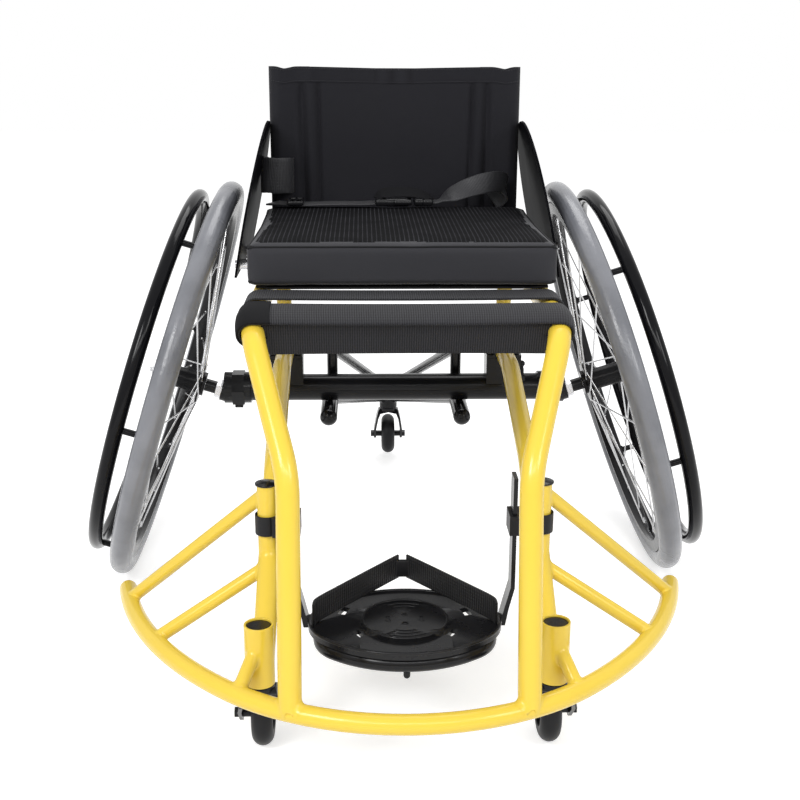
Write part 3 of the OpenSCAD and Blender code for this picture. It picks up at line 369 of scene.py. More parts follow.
@dataclass(frozen=True)
class Finish:
    """One surface finish: its colour and gloss, and what it shows at close range."""

    name: str
    slot: str
    colour: Colour
    roughness: float
    texture: Texture = Texture.GRAIN
    metallic: float = 0.0
    coat: float = 0.0
    tint: Colour = (0.1, 0.1, 0.1)
    patch_scale: float = 12.0
    patch_amount: float = 0.2
    gloss_spread: float = 0.15
    grain_scale: float = 900.0
    bump: float = 0.1
    depth: float = 0.0002
    pitch: float = 0.0016
    sheen: float = 0.0
    specular: float = 0.5
    # Share of the colour that a weave keeps in its gaps: painted shade between threads, ribs and cells.
    gap_shade: float = 0.35
    contrast: float = 0.75
    uses_uv: bool = False

    def pattern(self, graph: Graph, place: bpy.types.NodeSocket) -> bpy.types.Node | None:
        """Adds the group that draws this finish's weave, if it has one.

        Args:
            graph: The material's graph.
            place: The vector that the pattern reads.

        Returns:
            The group node, or None for a finish without a weave.
        """
        makers = {Texture.WEAVE: weave_group, Texture.RIBS: ribs_group,
                  Texture.SPACER_MESH: spacer_group}
        if self.texture not in makers:
            return None
        made = graph.node("ShaderNodeGroup")
        made.node_tree = shared_group(makers[self.texture])
        graph.feed(made.inputs["Vector"], place)
        if self.texture is Texture.WEAVE:
            made.inputs["Threads"].default_value = 1.0 / self.pitch
        if self.texture is Texture.RIBS:
            made.inputs["Pitch"].default_value = self.pitch
        return made

    def material(self) -> bpy.types.Material:
        """The finish's material, made on first use.

        Returns:
            The material.
        """
        found = bpy.data.materials.get(self.name)
        if found:
            return found
        made = bpy.data.materials.new(self.name)
        made.use_nodes = True
        graph = Graph(made.node_tree)
        shader = made.node_tree.nodes["Principled BSDF"]
        where = graph.node("ShaderNodeTexCoord")
        place = where.outputs["UV"] if self.uses_uv else self.unrolled(graph, where)
        wear = graph.node("ShaderNodeGroup")
        wear.node_tree = shared_group(wear_group)
        graph.feed(wear.inputs["Vector"], self.stretched(graph, where.outputs["Object"]))
        for label, value in (("Colour", (*self.colour, 1.0)), ("Tint", (*self.tint, 1.0)),
                             ("Patch scale", self.patch_scale), ("Patch amount", self.patch_amount),
                             ("Roughness", self.roughness), ("Gloss spread", self.gloss_spread),
                             ("Grain scale", self.grain_scale)):
            wear.inputs[label].default_value = value
        colour = wear.outputs["Colour"]
        height = wear.outputs["Height"]
        weave = self.pattern(graph, place)
        if weave:
            # Painted shade: the weave's gaps are mixed towards a darker copy of the colour, as if shaded between
            # the threads.
            gap_shade_colour = tuple(self.gap_shade * c for c in self.colour) + (1.0,)
            share = graph.maths("MULTIPLY", weave.outputs["Gap"], self.contrast)
            colour = graph.mix(share, colour, gap_shade_colour)
            height = graph.maths("ADD", weave.outputs["Height"], graph.maths("MULTIPLY", height, 0.2))
        bump = graph.node("ShaderNodeBump")
        bump.inputs["Strength"].default_value = self.bump
        bump.inputs["Distance"].default_value = self.depth
        graph.feed(bump.inputs["Height"], height)
        graph.feed(shader.inputs["Base Color"], colour)
        graph.feed(shader.inputs["Roughness"], wear.outputs["Roughness"])
        graph.feed(shader.inputs["Normal"], bump.outputs[0])
        shader.inputs["Metallic"].default_value = self.metallic
        shader.inputs["Coat Weight"].default_value = self.coat
        shader.inputs["Coat Roughness"].default_value = 0.08
        shader.inputs["Sheen Weight"].default_value = self.sheen
        shader.inputs["Specular IOR Level"].default_value = self.specular
        return made

    def unrolled(self, graph: Graph, where: bpy.types.Node) -> bpy.types.NodeSocket:
        """The place that a weave without a UV map reads: upright cloth runs round the piece.

        Args:
            graph: The material's graph.
            where: The Texture Coordinate node.

        Returns:
            The vector socket.
        """
        if self.texture is not Texture.WEAVE:
            return where.outputs["Object"]
        parts = graph.node("ShaderNodeSeparateXYZ")
        graph.feed(parts.inputs[0], where.outputs["Object"])
        flat = graph.node("ShaderNodeCombineXYZ")
        graph.feed(flat.inputs[0], graph.maths("ADD", parts.outputs[0], parts.outputs[1]))
        graph.feed(flat.inputs[1], parts.outputs[2])
        return flat.outputs[0]

    def stretched(self, graph: Graph, place: bpy.types.NodeSocket) -> bpy.types.NodeSocket:
        """The place that the wear reads: drawn out along X on brushed metal.

        Args:
            graph: The material's graph.
            place: Object coordinates.

        Returns:
            The vector socket.
        """
        if self.texture is not Texture.BRUSHED:
            return place
        mapping = graph.node("ShaderNodeMapping")
        mapping.inputs["Scale"].default_value = (0.06, 1.0, 1.0)
        graph.feed(mapping.inputs["Vector"], place)
        return mapping.outputs[0]


YELLOW = Finish("Yellow powder coat", "frame_paint", (0.77, 0.55, 0.056), 0.25, Texture.PAINT,
                coat=0.12, tint=(0.72, 0.49, 0.038), patch_scale=7.0, patch_amount=0.22,
                gloss_spread=0.12, grain_scale=420.0, bump=0.04, depth=0.0004, specular=0.36)
BLACK_PAINT = Finish("Black powder coat", "black_paint", (0.006, 0.006, 0.007), 0.22,
                     Texture.PAINT, coat=0.0, tint=(0.012, 0.012, 0.014), patch_scale=9.0,
                     patch_amount=0.5, grain_scale=500.0, bump=0.06, depth=0.0004, specular=0.22)
HANDRIM_COAT = Finish("Handrim coating", "black_paint", (0.004, 0.004, 0.005), 0.13,
                      Texture.PAINT, coat=0.0, tint=(0.010, 0.010, 0.012), patch_scale=16.0,
                      patch_amount=0.35, grain_scale=300.0, bump=0.06, specular=0.13)
RIM_BLACK = Finish("Anodised rim", "black_paint", (0.006, 0.006, 0.007), 0.26, Texture.PAINT,
                   metallic=0.0, tint=(0.014, 0.014, 0.016), patch_amount=0.4, bump=0.05,
                   specular=0.22)
PLASTIC = Finish("Moulded black plastic", "black_plastic", (0.008, 0.008, 0.009), 0.42,
                 tint=(0.014, 0.014, 0.016), patch_amount=0.5, grain_scale=1400.0, bump=0.12,
                 specular=0.2)
GLOSS_PLASTIC = Finish("Glossy black plastic", "cap_plastic", (0.006, 0.006, 0.007), 0.2,
                       coat=0.0, tint=(0.016, 0.016, 0.018), grain_scale=1200.0, bump=0.05,
                       specular=0.25)
PLATE = Finish("Glossy footplate plastic", "black_plastic", (0.007, 0.007, 0.008), 0.26,
               coat=0.0, tint=(0.014, 0.014, 0.016), patch_scale=20.0, patch_amount=0.5,
               grain_scale=800.0, bump=0.08, specular=0.25)
GUARD = Finish("Side guard sheet", "black_plastic", (0.004, 0.004, 0.005), 0.42,
               tint=(0.014, 0.014, 0.016), patch_amount=0.4, grain_scale=700.0, bump=0.08,
               specular=0.004)
STEEL = Finish("Brushed steel", "bearing_steel", (0.62, 0.62, 0.64), 0.26, Texture.BRUSHED,
               metallic=1.0, tint=(0.42, 0.42, 0.43), patch_amount=0.3, grain_scale=1500.0,
               bump=0.08)
SPOKE_STEEL = Finish("Spoke steel", "bearing_steel", (0.60, 0.60, 0.61), 0.24, Texture.PAINT,
                     metallic=1.0, tint=(0.40, 0.40, 0.41), patch_amount=0.3, bump=0.03)
AXLE_BLACK = Finish("Blackened axle steel", "bearing_steel", (0.012, 0.012, 0.013), 0.3,
                    metallic=0.3, tint=(0.03, 0.03, 0.03), bump=0.05, specular=0.25)
BLACK_STEEL = Finish("Black screw steel", "screw_steel", (0.02, 0.02, 0.022), 0.35,
                     metallic=0.6, tint=(0.05, 0.05, 0.05), bump=0.05)
TYRE = Finish("Grey tyre rubber", "grey_tyre", (0.195, 0.20, 0.22), 0.24,
              tint=(0.115, 0.12, 0.135), patch_scale=13.0, patch_amount=0.85, gloss_spread=0.3,
              grain_scale=210.0, bump=0.55, depth=0.0006, specular=0.5)
CASTER_RUBBER = Finish("Caster rubber", "caster_rubber", (0.008, 0.008, 0.009), 0.45,
                       tint=(0.016, 0.016, 0.018), patch_amount=0.5, grain_scale=800.0, bump=0.15,
                       specular=0.2)
# The webbing and cloth finishes below darken the gaps of their weave, ribs or mesh: painted shade between
# threads, ribs and cells.
WEBBING = Finish("Black webbing", "black_webbing", (0.024, 0.024, 0.028), 0.6, Texture.RIBS,
                 tint=(0.034, 0.034, 0.04), patch_amount=0.5, bump=0.8, depth=0.0008,
                 pitch=0.0026, sheen=0.04, specular=0.14, gap_shade=0.1, contrast=1.0, uses_uv=True)
BELT = Finish("Lap belt webbing", "black_webbing", (0.034, 0.034, 0.038), 0.4, Texture.RIBS,
              tint=(0.016, 0.016, 0.018), patch_scale=24.0, patch_amount=0.8, bump=0.5,
              depth=0.0006, pitch=0.0021, sheen=0.04, specular=0.3, gap_shade=0.35, contrast=0.8,
              uses_uv=True)
TAPE = Finish("Hook tape", "black_webbing", (0.008, 0.008, 0.009), 0.8, tint=(0.012, 0.012, 0.014),
              patch_amount=0.5, grain_scale=1600.0, bump=0.5, specular=0.08, uses_uv=True)
HEEL_WEBBING = Finish("Ribbed heel webbing", "black_webbing", (0.032, 0.032, 0.034), 0.45,
                      Texture.RIBS, tint=(0.045, 0.045, 0.048), patch_amount=0.4, bump=1.0,
                      depth=0.0014, pitch=0.0033, specular=0.2, gap_shade=0.06, contrast=1.0,
                      uses_uv=True)
BACK_CLOTH = Finish("Backrest cloth", "black_fabric", (0.0152, 0.0150, 0.0195), 0.68, Texture.WEAVE,
                    tint=(0.022, 0.022, 0.026), patch_scale=5.0, patch_amount=0.6, bump=0.35,
                    depth=0.0003, pitch=0.0011, sheen=0.06, specular=0.12, uses_uv=True)
SIDE_CLOTH = Finish("Cushion side cloth", "black_fabric", (0.033, 0.033, 0.038), 0.72,
                    Texture.WEAVE, tint=(0.045, 0.045, 0.05), patch_scale=9.0,
                    patch_amount=0.5, bump=0.3, depth=0.0003, pitch=0.0009, sheen=0.08,
                    specular=0.15, gap_shade=0.6, contrast=0.6)
# The top mesh's colour shows only in the dashes on its ridges, which are painted highlights; the cells and
# furrows between them are painted shade at 0.08 of that colour.
TOP_MESH = Finish("Cushion top mesh", "black_fabric", (0.058, 0.058, 0.066), 0.7,
                  Texture.SPACER_MESH, tint=(0.018, 0.018, 0.021), patch_scale=22.0,
                  patch_amount=0.9, bump=0.8, depth=0.0010, specular=0.03, gap_shade=0.08,
                  contrast=1.0)
SLING_CLOTH = Finish("Seat sling cloth", "black_fabric", (0.012, 0.012, 0.013), 0.75,
                     Texture.WEAVE, tint=(0.018, 0.018, 0.02), bump=0.3, depth=0.0003,
                     pitch=0.0012, specular=0.12, uses_uv=True)
PIPING = Finish("Cushion piping", "black_fabric", (0.012, 0.012, 0.013), 0.7,
                tint=(0.02, 0.02, 0.022), bump=0.15, specular=0.12)
THREAD = Finish("Sewing thread", "black_webbing", (0.035, 0.035, 0.04), 0.6, bump=0.1,
                specular=0.3)


# Placing pieces


def placed(name: str, mesh: bpy.types.Mesh, finishes: Sequence[Finish], body: str,
           stands_for: Sequence[str] = ()) -> bpy.types.Object:
    """Puts a mesh into the scene as a piece that rides on a body.

    Args:
        name: The piece's name.
        mesh: Its mesh, already in place.
        finishes: Its finishes, in slot order.
        body: The CAD body it rides on.
        stands_for: CAD nodes that it stands for.

    Returns:
        The piece.
    """
    piece = bpy.data.objects.new(name, mesh)
    bpy.context.scene.collection.objects.link(piece)
    mesh.materials.clear()
    for finish in finishes:
        mesh.materials.append(finish.material())
    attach(piece, body)
    if stands_for:
        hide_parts(*stands_for)
    return piece


def meshed(name: str, bm: bmesh.types.BMesh, sharp: float = 38.0) -> bpy.types.Mesh:
    """Turns a bmesh into a smooth-shaded mesh and frees it.

    Args:
        name: The mesh's name.
        bm: The bmesh.
        sharp: Angle in degrees past which an edge stays sharp.

    Returns:
        The mesh.
    """
    mesh = bpy.data.meshes.new(name)
    bm.to_mesh(mesh)
    bm.free()
    mesh.shade_smooth()
    mesh.set_sharp_from_angle(angle=math.radians(sharp))
    return mesh


def refined(node: str, finish: Finish, bevel: float = 0.0, sharp: float = 38.0) -> bpy.types.Object:
    """Stands a merged, smooth copy of a CAD node in its place.

    Args:
        node: The CAD node.
        finish: Its finish.
        bevel: Radius in metres that its sharp edges get, or 0.
        sharp: Angle in degrees past which an edge stays sharp.

    Returns:
        The piece.
    """
    bm = bmesh.new()
    bm.from_mesh(frame["nodes"][node].data)
    bmesh.ops.remove_doubles(bm, verts=bm.verts, dist=2e-6)
    if bevel:
        bmesh.ops.dissolve_limit(bm, angle_limit=math.radians(0.8), verts=bm.verts, edges=bm.edges)
        edges = [e for e in bm.edges if e.is_manifold and e.calc_face_angle(0.0) > math.radians(40)]
        bmesh.ops.bevel(bm, geom=edges, offset=bevel, offset_type="OFFSET", affect="EDGES",
                        segments=2, profile=0.5, material=-1, clamp_overlap=True)
    body = frame["nodes"][node]["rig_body"]
    piece = placed(f"{node}_finished", meshed(f"{node}_finished", bm, sharp), [finish], body, [node])
    piece.modifiers.new("Even shading", "WEIGHTED_NORMAL").keep_sharp = True
    return piece


def smooth_path(points: Sequence[Vector], count: int, closed: bool = False) -> list[Vector]:
    """Even points on a smooth curve through the given ones.

    Args:
        points: Points that the curve passes.
        count: How many points to return.
        closed: Whether the curve returns to its start.

    Returns:
        The points, evenly spaced along the curve.
    """
    dense: list[Vector] = []
    total = len(points)
    spans = total if closed else total - 1
    for i in range(spans):
        before = points[(i - 1) % total] if closed or i > 0 else points[0] * 2 - points[1]
        a, b = points[i], points[(i + 1) % total]
        after = points[(i + 2) % total] if closed or i + 2 < total else b * 2 - a
        for step in range(24):
            t = step / 24
            dense.append(0.5 * ((2 * a) + (b - before) * t + (2 * before - 5 * a + 4 * b - after) * t * t
                                + (3 * a - before - 3 * b + after) * t ** 3))
    dense.append(points[0].copy() if closed else points[-1].copy())
    lengths = [0.0]
    for a, b in zip(dense, dense[1:]):
        lengths.append(lengths[-1] + (b - a).length)
    even: list[Vector] = []
    stops = count if closed else count - 1
    spot = 0
    for i in range(count):
        goal = lengths[-1] * i / stops
        while spot < len(lengths) - 2 and lengths[spot + 1] < goal:
            spot += 1
        step_length = max(lengths[spot + 1] - lengths[spot], 1e-9)
        even.append(dense[spot].lerp(dense[spot + 1], (goal - lengths[spot]) / step_length))
    return even


def bent_path(points: Sequence[Vector], radii: Sequence[float], step: float = 3.0) -> list[Vector]:
    """The centre line of a tube bent at its inner points.

    Args:
        points: The corners of the unbent path, with its two ends.
        radii: Bend radius in metres at each inner point.
        step: Degrees between points on a bend.

    Returns:
        The points of the bent path.
    """
    line = [points[0].copy()]
    for before, here, after, radius in zip(points, points[1:], points[2:], radii):
        a, b = (before - here).normalized(), (after - here).normalized()
        turn = math.pi - a.angle(b)
        if turn < 1e-3:
            continue
        reach = radius * math.tan(turn / 2)
        centre = here + (a + b).normalized() * (radius / math.cos(turn / 2))
        start = here + a * reach - centre
        axis = start.cross(here + b * reach - centre).normalized()
        count = max(2, math.ceil(math.degrees(turn) / step))
        line += [centre + Matrix.Rotation(turn * k / count, 3, axis) @ start for k in range(count + 1)]
    line.append(points[-1].copy())
    return line


def path_length(points: Sequence[Vector]) -> float:
    """The length of a run of points."""
    return sum((b - a).length for a, b in zip(points, points[1:]))


def ribbon(name: str, centres: Sequence[Vector], sides: Sequence[Vector], width: float,
           thickness: float, columns: int = 10) -> bpy.types.Mesh:
    """A strip of webbing with a rounded edge, whose UV map is in metres.

    Args:
        name: The mesh's name.
        centres: Points down the middle of the strip.
        sides: Unit vector across the strip at each point.
        width: Width of the strip.
        thickness: Thickness of the strip.
        columns: Faces across the strip.

    Returns:
        The mesh.
    """
    rows = len(centres) - 1
    bm = bmesh.new()
    uv = bm.loops.layers.uv.new("UVMap")
    bmesh.ops.create_grid(bm, x_segments=rows, y_segments=columns, size=0.5)
    length = path_length(centres)
    for face in bm.faces:
        for loop in face.loops:
            loop[uv].uv = ((loop.vert.co.x + 0.5) * length, (loop.vert.co.y + 0.5) * width)
    for vert in bm.verts:
        row = round((vert.co.x + 0.5) * rows)
        vert.co = centres[row] + sides[row] * (vert.co.y * width)
    bmesh.ops.recalc_face_normals(bm, faces=bm.faces)
    bmesh.ops.solidify(bm, geom=bm.faces, thickness=thickness)
    edges = [e for e in bm.edges if e.is_manifold and e.calc_face_angle(0.0) > math.radians(60)]
    bmesh.ops.bevel(bm, geom=edges, offset=thickness * 0.3, offset_type="OFFSET", affect="EDGES",
                    segments=2, profile=0.5, material=-1, clamp_overlap=True)
    return meshed(name, bm, 50.0)


def tube_mesh(name: str, points: Sequence[Vector], radius: float, closed: bool,
              sides: int = 8) -> bpy.types.Mesh:
    """A round cord along points, made from a bevelled curve.

    Args:
        name: The mesh's name.
        points: Points down its middle.
        radius: Its radius.
        closed: Whether it is a loop.
        sides: Faces round it.

    Returns:
        The mesh.
    """
    curve = bpy.data.curves.new(name, "CURVE")
    curve.dimensions = "3D"
    curve.bevel_depth = radius
    curve.bevel_resolution = max(0, (sides - 4) // 2)
    curve.use_fill_caps = not closed
    spline = curve.splines.new("POLY")
    spline.points.add(len(points) - 1)
    for point, spot in zip(points, spline.points):
        spot.co = (*point, 1.0)
    spline.use_cyclic_u = closed
    helper = bpy.data.objects.new(name, curve)
    bpy.context.scene.collection.objects.link(helper)
    mesh = bpy.data.meshes.new_from_object(helper.evaluated_get(bpy.context.evaluated_depsgraph_get()))
    bpy.data.objects.remove(helper)
    bpy.data.curves.remove(curve)
    mesh.shade_smooth()
    return mesh


def joined(name: str, meshes: Iterable[bpy.types.Mesh], sharp: float = 38.0) -> bpy.types.Mesh:
    """One mesh out of several, which are removed.

    Args:
        name: The new mesh's name.
        meshes: The meshes to join.
        sharp: Angle in degrees past which an edge stays sharp.

    Returns:
        The joined mesh.
    """
    bm = bmesh.new()
    for mesh in meshes:
        bm.from_mesh(mesh)
        bpy.data.meshes.remove(mesh)
    return meshed(name, bm, sharp)


@dataclass(frozen=True)
class Rod:
    """A straight round tube: a point on its axis, the way it runs and its radius."""

    start: Vector
    end: Vector
    radius: float

    @property
    def way(self) -> Vector:
        """The unit vector from start to end."""
        return (self.end - self.start).normalized()

    def mirrored(self) -> "Rod":
        """The same rod on the other side of the centre plane."""
        flip = Matrix.Scale(-1, 3, (1, 0, 0))
        return Rod(flip @ self.start, flip @ self.end, self.radius)

    def meets(self, through: "Rod", count: int = 56) -> list[Vector]:
        """Where this rod's surface first reaches another's, going from start to end.

        Args:
            through: The rod that this one is welded to.
            count: Points round the joint.

        Returns:
            A closed ring of points.
        """
        way, axis = self.way, through.way
        side = way.orthogonal().normalized()
        up = way.cross(side)
        across_way = way - axis * way.dot(axis)
        ring = []
        for i in range(count):
            turn = 2 * math.pi * i / count
            spot = self.start + (side * math.cos(turn) + up * math.sin(turn)) * self.radius
            offset = spot - through.start
            offset -= axis * offset.dot(axis)
            a = across_way.length_squared
            b = offset.dot(across_way)
            c = offset.length_squared - through.radius ** 2
            reach = (-b - math.sqrt(max(b * b - a * c, 0.0))) / a
            ring.append(spot + way * reach)
        return ring


def weld(branch: Rod, through: Rod, size: float) -> bpy.types.Mesh:
    """A smooth hollow fillet where one tube is welded to another.

    Args:
        branch: The tube that ends at the joint.
        through: The tube that it ends on.
        size: How far the fillet reaches along both tubes.

    Returns:
        The fillet's mesh.
    """
    ring = branch.meets(through)
    count = len(ring)
    bm = bmesh.new()
    loops: list[list[bmesh.types.BMVert]] = [[] for _ in range(7)]
    for i, point in enumerate(ring):
        along = (ring[(i + 1) % count] - ring[i - 1]).normalized()
        out = point - through.start
        out = (out - through.way * out.dot(through.way)).normalized()
        aside = point - branch.start
        aside = (aside - branch.way * aside.dot(branch.way)).normalized()
        away = along.cross(out).normalized()
        away = away if away.dot(aside) > 0 else -away
        start = point - branch.way * size - aside * 0.00008
        end = point + away * size - through.start
        on_axis = through.way * end.dot(through.way)
        end = through.start + on_axis + (end - on_axis).normalized() * (through.radius - 0.00008)
        hold = point - (aside + out) * 0.00006
        for k, loop in enumerate(loops):
            s = k / (len(loops) - 1)
            loop.append(bm.verts.new(start * (1 - s) ** 2 + hold * (2 * s * (1 - s)) + end * s ** 2))
    for loop in loops:
        for a, b in zip(loop, loop[1:] + loop[:1]):
            bm.edges.new((a, b))
    bmesh.ops.bridge_loops(bm, edges=bm.edges)
    bmesh.ops.recalc_face_normals(bm, faces=bm.faces)
    return meshed("fillet", bm, 80.0)


def rounded_box(centre: Vector, size: tuple[float, float, float], edge: float,
                turn: Matrix | None = None) -> bpy.types.Mesh:
    """A block with rounded edges.

    Args:
        centre: Its centre.
        size: Its lengths along X, Y and Z.
        edge: Radius of its edges.
        turn: How it is turned, or None.

    Returns:
        The mesh.
    """
    bm = bmesh.new()
    bmesh.ops.create_cube(bm, size=1.0)
    bmesh.ops.scale(bm, vec=size, verts=bm.verts)
    bmesh.ops.bevel(bm, geom=list(bm.edges), offset=edge, offset_type="OFFSET", affect="EDGES",
                    segments=3, profile=0.5, material=-1)
    if turn:
        bmesh.ops.transform(bm, matrix=turn, verts=bm.verts)
    bmesh.ops.translate(bm, vec=centre, verts=bm.verts)
    return meshed("block", bm)


def turned_part(profile: Sequence[tuple[float, float]], steps: int, place: Matrix,
                sharp: float = 38.0) -> bpy.types.Mesh:
    """A lathe-turned part from its outline.

    Args:
        profile: Radius and height of each corner, from one end of the axis to the other.
        steps: Faces round the axis.
        place: Matrix from the part's own axes, +Z being its axis, to the model's frame.
        sharp: Angle in degrees past which an edge stays sharp.

    Returns:
        The mesh.
    """
    bm = bmesh.new()
    verts = [bm.verts.new((radius, 0.0, height)) for radius, height in profile]
    edges = [bm.edges.new(pair) for pair in zip(verts, verts[1:])]
    bmesh.ops.spin(bm, geom=[*verts, *edges], cent=(0, 0, 0), axis=(0, 0, 1), dvec=(0, 0, 0),
                   angle=2 * math.pi, steps=steps, use_merge=True, use_duplicate=False)
    bmesh.ops.remove_doubles(bm, verts=bm.verts, dist=1e-6)
    bmesh.ops.recalc_face_normals(bm, faces=bm.faces)
    bmesh.ops.transform(bm, matrix=place, verts=bm.verts)
    if place.determinant() < 0:
        bmesh.ops.reverse_faces(bm, faces=bm.faces)
    return meshed("turned", bm, sharp)


def axes(origin: Vector, along: Vector, up: Vector = Vector((0, 0, 1))) -> Matrix:
    """The matrix of a frame at origin whose Z runs along a vector."""
    z = along.normalized()
    x = up.cross(z)
    x = x.normalized() if x.length > 1e-4 else z.orthogonal().normalized()
    y = z.cross(x)
    turn = Matrix((x, y, z)).transposed().to_4x4()
    return Matrix.Translation(origin) @ turn


def stitches(points: Sequence[Vector], lifts: Sequence[Vector], pitch: float = 0.0036,
             size: float = 0.0004) -> bpy.types.Mesh:
    """A row of thread dashes that lie on a surface.

    Args:
        points: The row's path.
        lifts: The surface's outward unit vector at each point.
        pitch: Distance from one stitch to the next.
        size: Half the thread's thickness.

    Returns:
        The mesh.
    """
    bm = bmesh.new()
    count = max(2, int(path_length(points) / pitch))
    even = smooth_path(points, count + 1)
    for i in range(count):
        a, b = even[i], even[i + 1]
        lift = lifts[min(len(lifts) - 1, round(i / count * (len(lifts) - 1)))]
        spot = axes((a + b) / 2 + lift * size * 0.4, b - a, lift)
        shape = spot @ Matrix.Diagonal((size, size, (b - a).length * 0.34, 1))
        bmesh.ops.create_uvsphere(bm, u_segments=6, v_segments=4, radius=1.0, matrix=shape)
    return meshed("stitches", bm)


# Sub-assemblies


@dataclass
class Studio:
    """The camera, the pale floor and the plain soft light."""

    lens: float = 54.77
    eye: Vector = field(default_factory=lambda: Vector((-0.04862, AXLE_Y - 1.77514, 0.78012)))
    key_power: float = 54.0
    fill_power: float = 22.0
    strip_power: float = 16.0
    top_power: float = 34.0
    world_strength: float = 0.58
    floor_glow: float = 0.54

    def camera(self) -> None:
        """Sets the camera at the photograph's viewing angle."""
        camera = bpy.data.cameras.new("Camera")
        camera.lens = self.lens
        camera.sensor_width = 36
        camera.clip_end = 60
        rig = bpy.data.objects.new("Camera", camera)
        bpy.context.scene.collection.objects.link(rig)
        right = Vector((0.999515, -0.030888, 0.003995))
        down = Vector((-0.004976, -0.284986, -0.958519))
        ahead = Vector((0.030745, 0.958034, -0.285001))
        turn = Matrix((right, -down, -ahead)).transposed().to_4x4()
        rig.matrix_world = Matrix.Translation(self.eye) @ turn
        bpy.context.scene.camera = rig

    def softbox(self, name: str, spot: tuple[float, float, float], size: tuple[float, float],
                power: float) -> None:
        """Adds a flat lamp that faces the chair.

        Args:
            name: The lamp's name.
            spot: Where it stands.
            size: Its width and height.
            power: Its power in watts.
        """
        lamp = bpy.data.lights.new(name, "AREA")
        lamp.shape = "RECTANGLE"
        lamp.size, lamp.size_y = size
        lamp.energy = power
        rig = bpy.data.objects.new(name, lamp)
        bpy.context.scene.collection.objects.link(rig)
        rig.location = spot
        rig.rotation_euler = (Vector((0, 0, 0.35)) - Vector(spot)).to_track_quat("-Z", "Y").to_euler()

    def white_rays(self, graph: Graph) -> bpy.types.NodeSocket:
        """The mask of the camera, glossy and transmission rays, which see a white studio."""
        path = graph.node("ShaderNodeLightPath")
        return graph.maths("MAXIMUM", path.outputs["Is Camera Ray"], graph.maths(
            "MAXIMUM", path.outputs["Is Glossy Ray"], path.outputs["Is Transmission Ray"]))

    def world(self) -> None:
        """Lights the scene evenly and shows white behind it."""
        world = bpy.data.worlds.new("Studio")
        bpy.context.scene.world = world
        world.use_nodes = True
        world.node_tree.nodes.clear()
        graph = Graph(world.node_tree)
        light = graph.node("ShaderNodeBackground")
        light.inputs["Strength"].default_value = self.world_strength
        white = graph.node("ShaderNodeBackground")
        mix = graph.node("ShaderNodeMixShader")
        graph.feed(mix.inputs[0], self.white_rays(graph))
        graph.feed(mix.inputs[1], light.outputs[0])
        graph.feed(mix.inputs[2], white.outputs[0])
        for background in (light, white):
            background.inputs["Color"].default_value = (1, 1, 1, 1)
        graph.feed(graph.node("ShaderNodeOutputWorld").inputs["Surface"], mix.outputs[0])

    def floor(self) -> None:
        """Lays the pale floor, which keeps the chair's shadow."""
        bm = bmesh.new()
        bmesh.ops.create_grid(bm, x_segments=1, y_segments=1, size=9.0)
        mesh = meshed("floor", bm)
        material = bpy.data.materials.new("Floor")
        material.use_nodes = True
        material.node_tree.nodes.clear()
        graph = Graph(material.node_tree)
        matt = graph.node("ShaderNodeBsdfDiffuse")
        matt.inputs["Color"].default_value = (0.82, 0.82, 0.82, 1)
        glow = graph.node("ShaderNodeEmission")
        glow.inputs["Strength"].default_value = self.floor_glow
        both = graph.node("ShaderNodeAddShader")
        graph.feed(both.inputs[0], matt.outputs[0])
        graph.feed(both.inputs[1], glow.outputs[0])
        mix = graph.node("ShaderNodeMixShader")
        graph.feed(mix.inputs[0], self.white_rays(graph))
        graph.feed(mix.inputs[1], matt.outputs[0])
        graph.feed(mix.inputs[2], both.outputs[0])
        graph.feed(graph.node("ShaderNodeOutputMaterial").inputs["Surface"], mix.outputs[0])
        mesh.materials.append(material)
        floor = bpy.data.objects.new("floor", mesh)
        bpy.context.scene.collection.objects.link(floor)
        floor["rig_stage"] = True

    def build(self) -> None:
        """Sets up the whole studio."""
        self.camera()
        self.world()
        self.floor()
        self.softbox("Key light", (-1.7, -2.5, 2.3), (1.0, 1.0), self.key_power)
        self.softbox("Fill light", (1.9, -2.2, 1.9), (0.9, 0.9), self.fill_power)
        self.softbox("Top light", (0.3, 1.2, 2.9), (1.7, 1.7), self.top_power)
        self.softbox("Strip light", (0.0, -2.7, 1.8), (2.2, 0.28), self.strip_power)
        bpy.context.scene.view_settings.view_transform = "Standard"


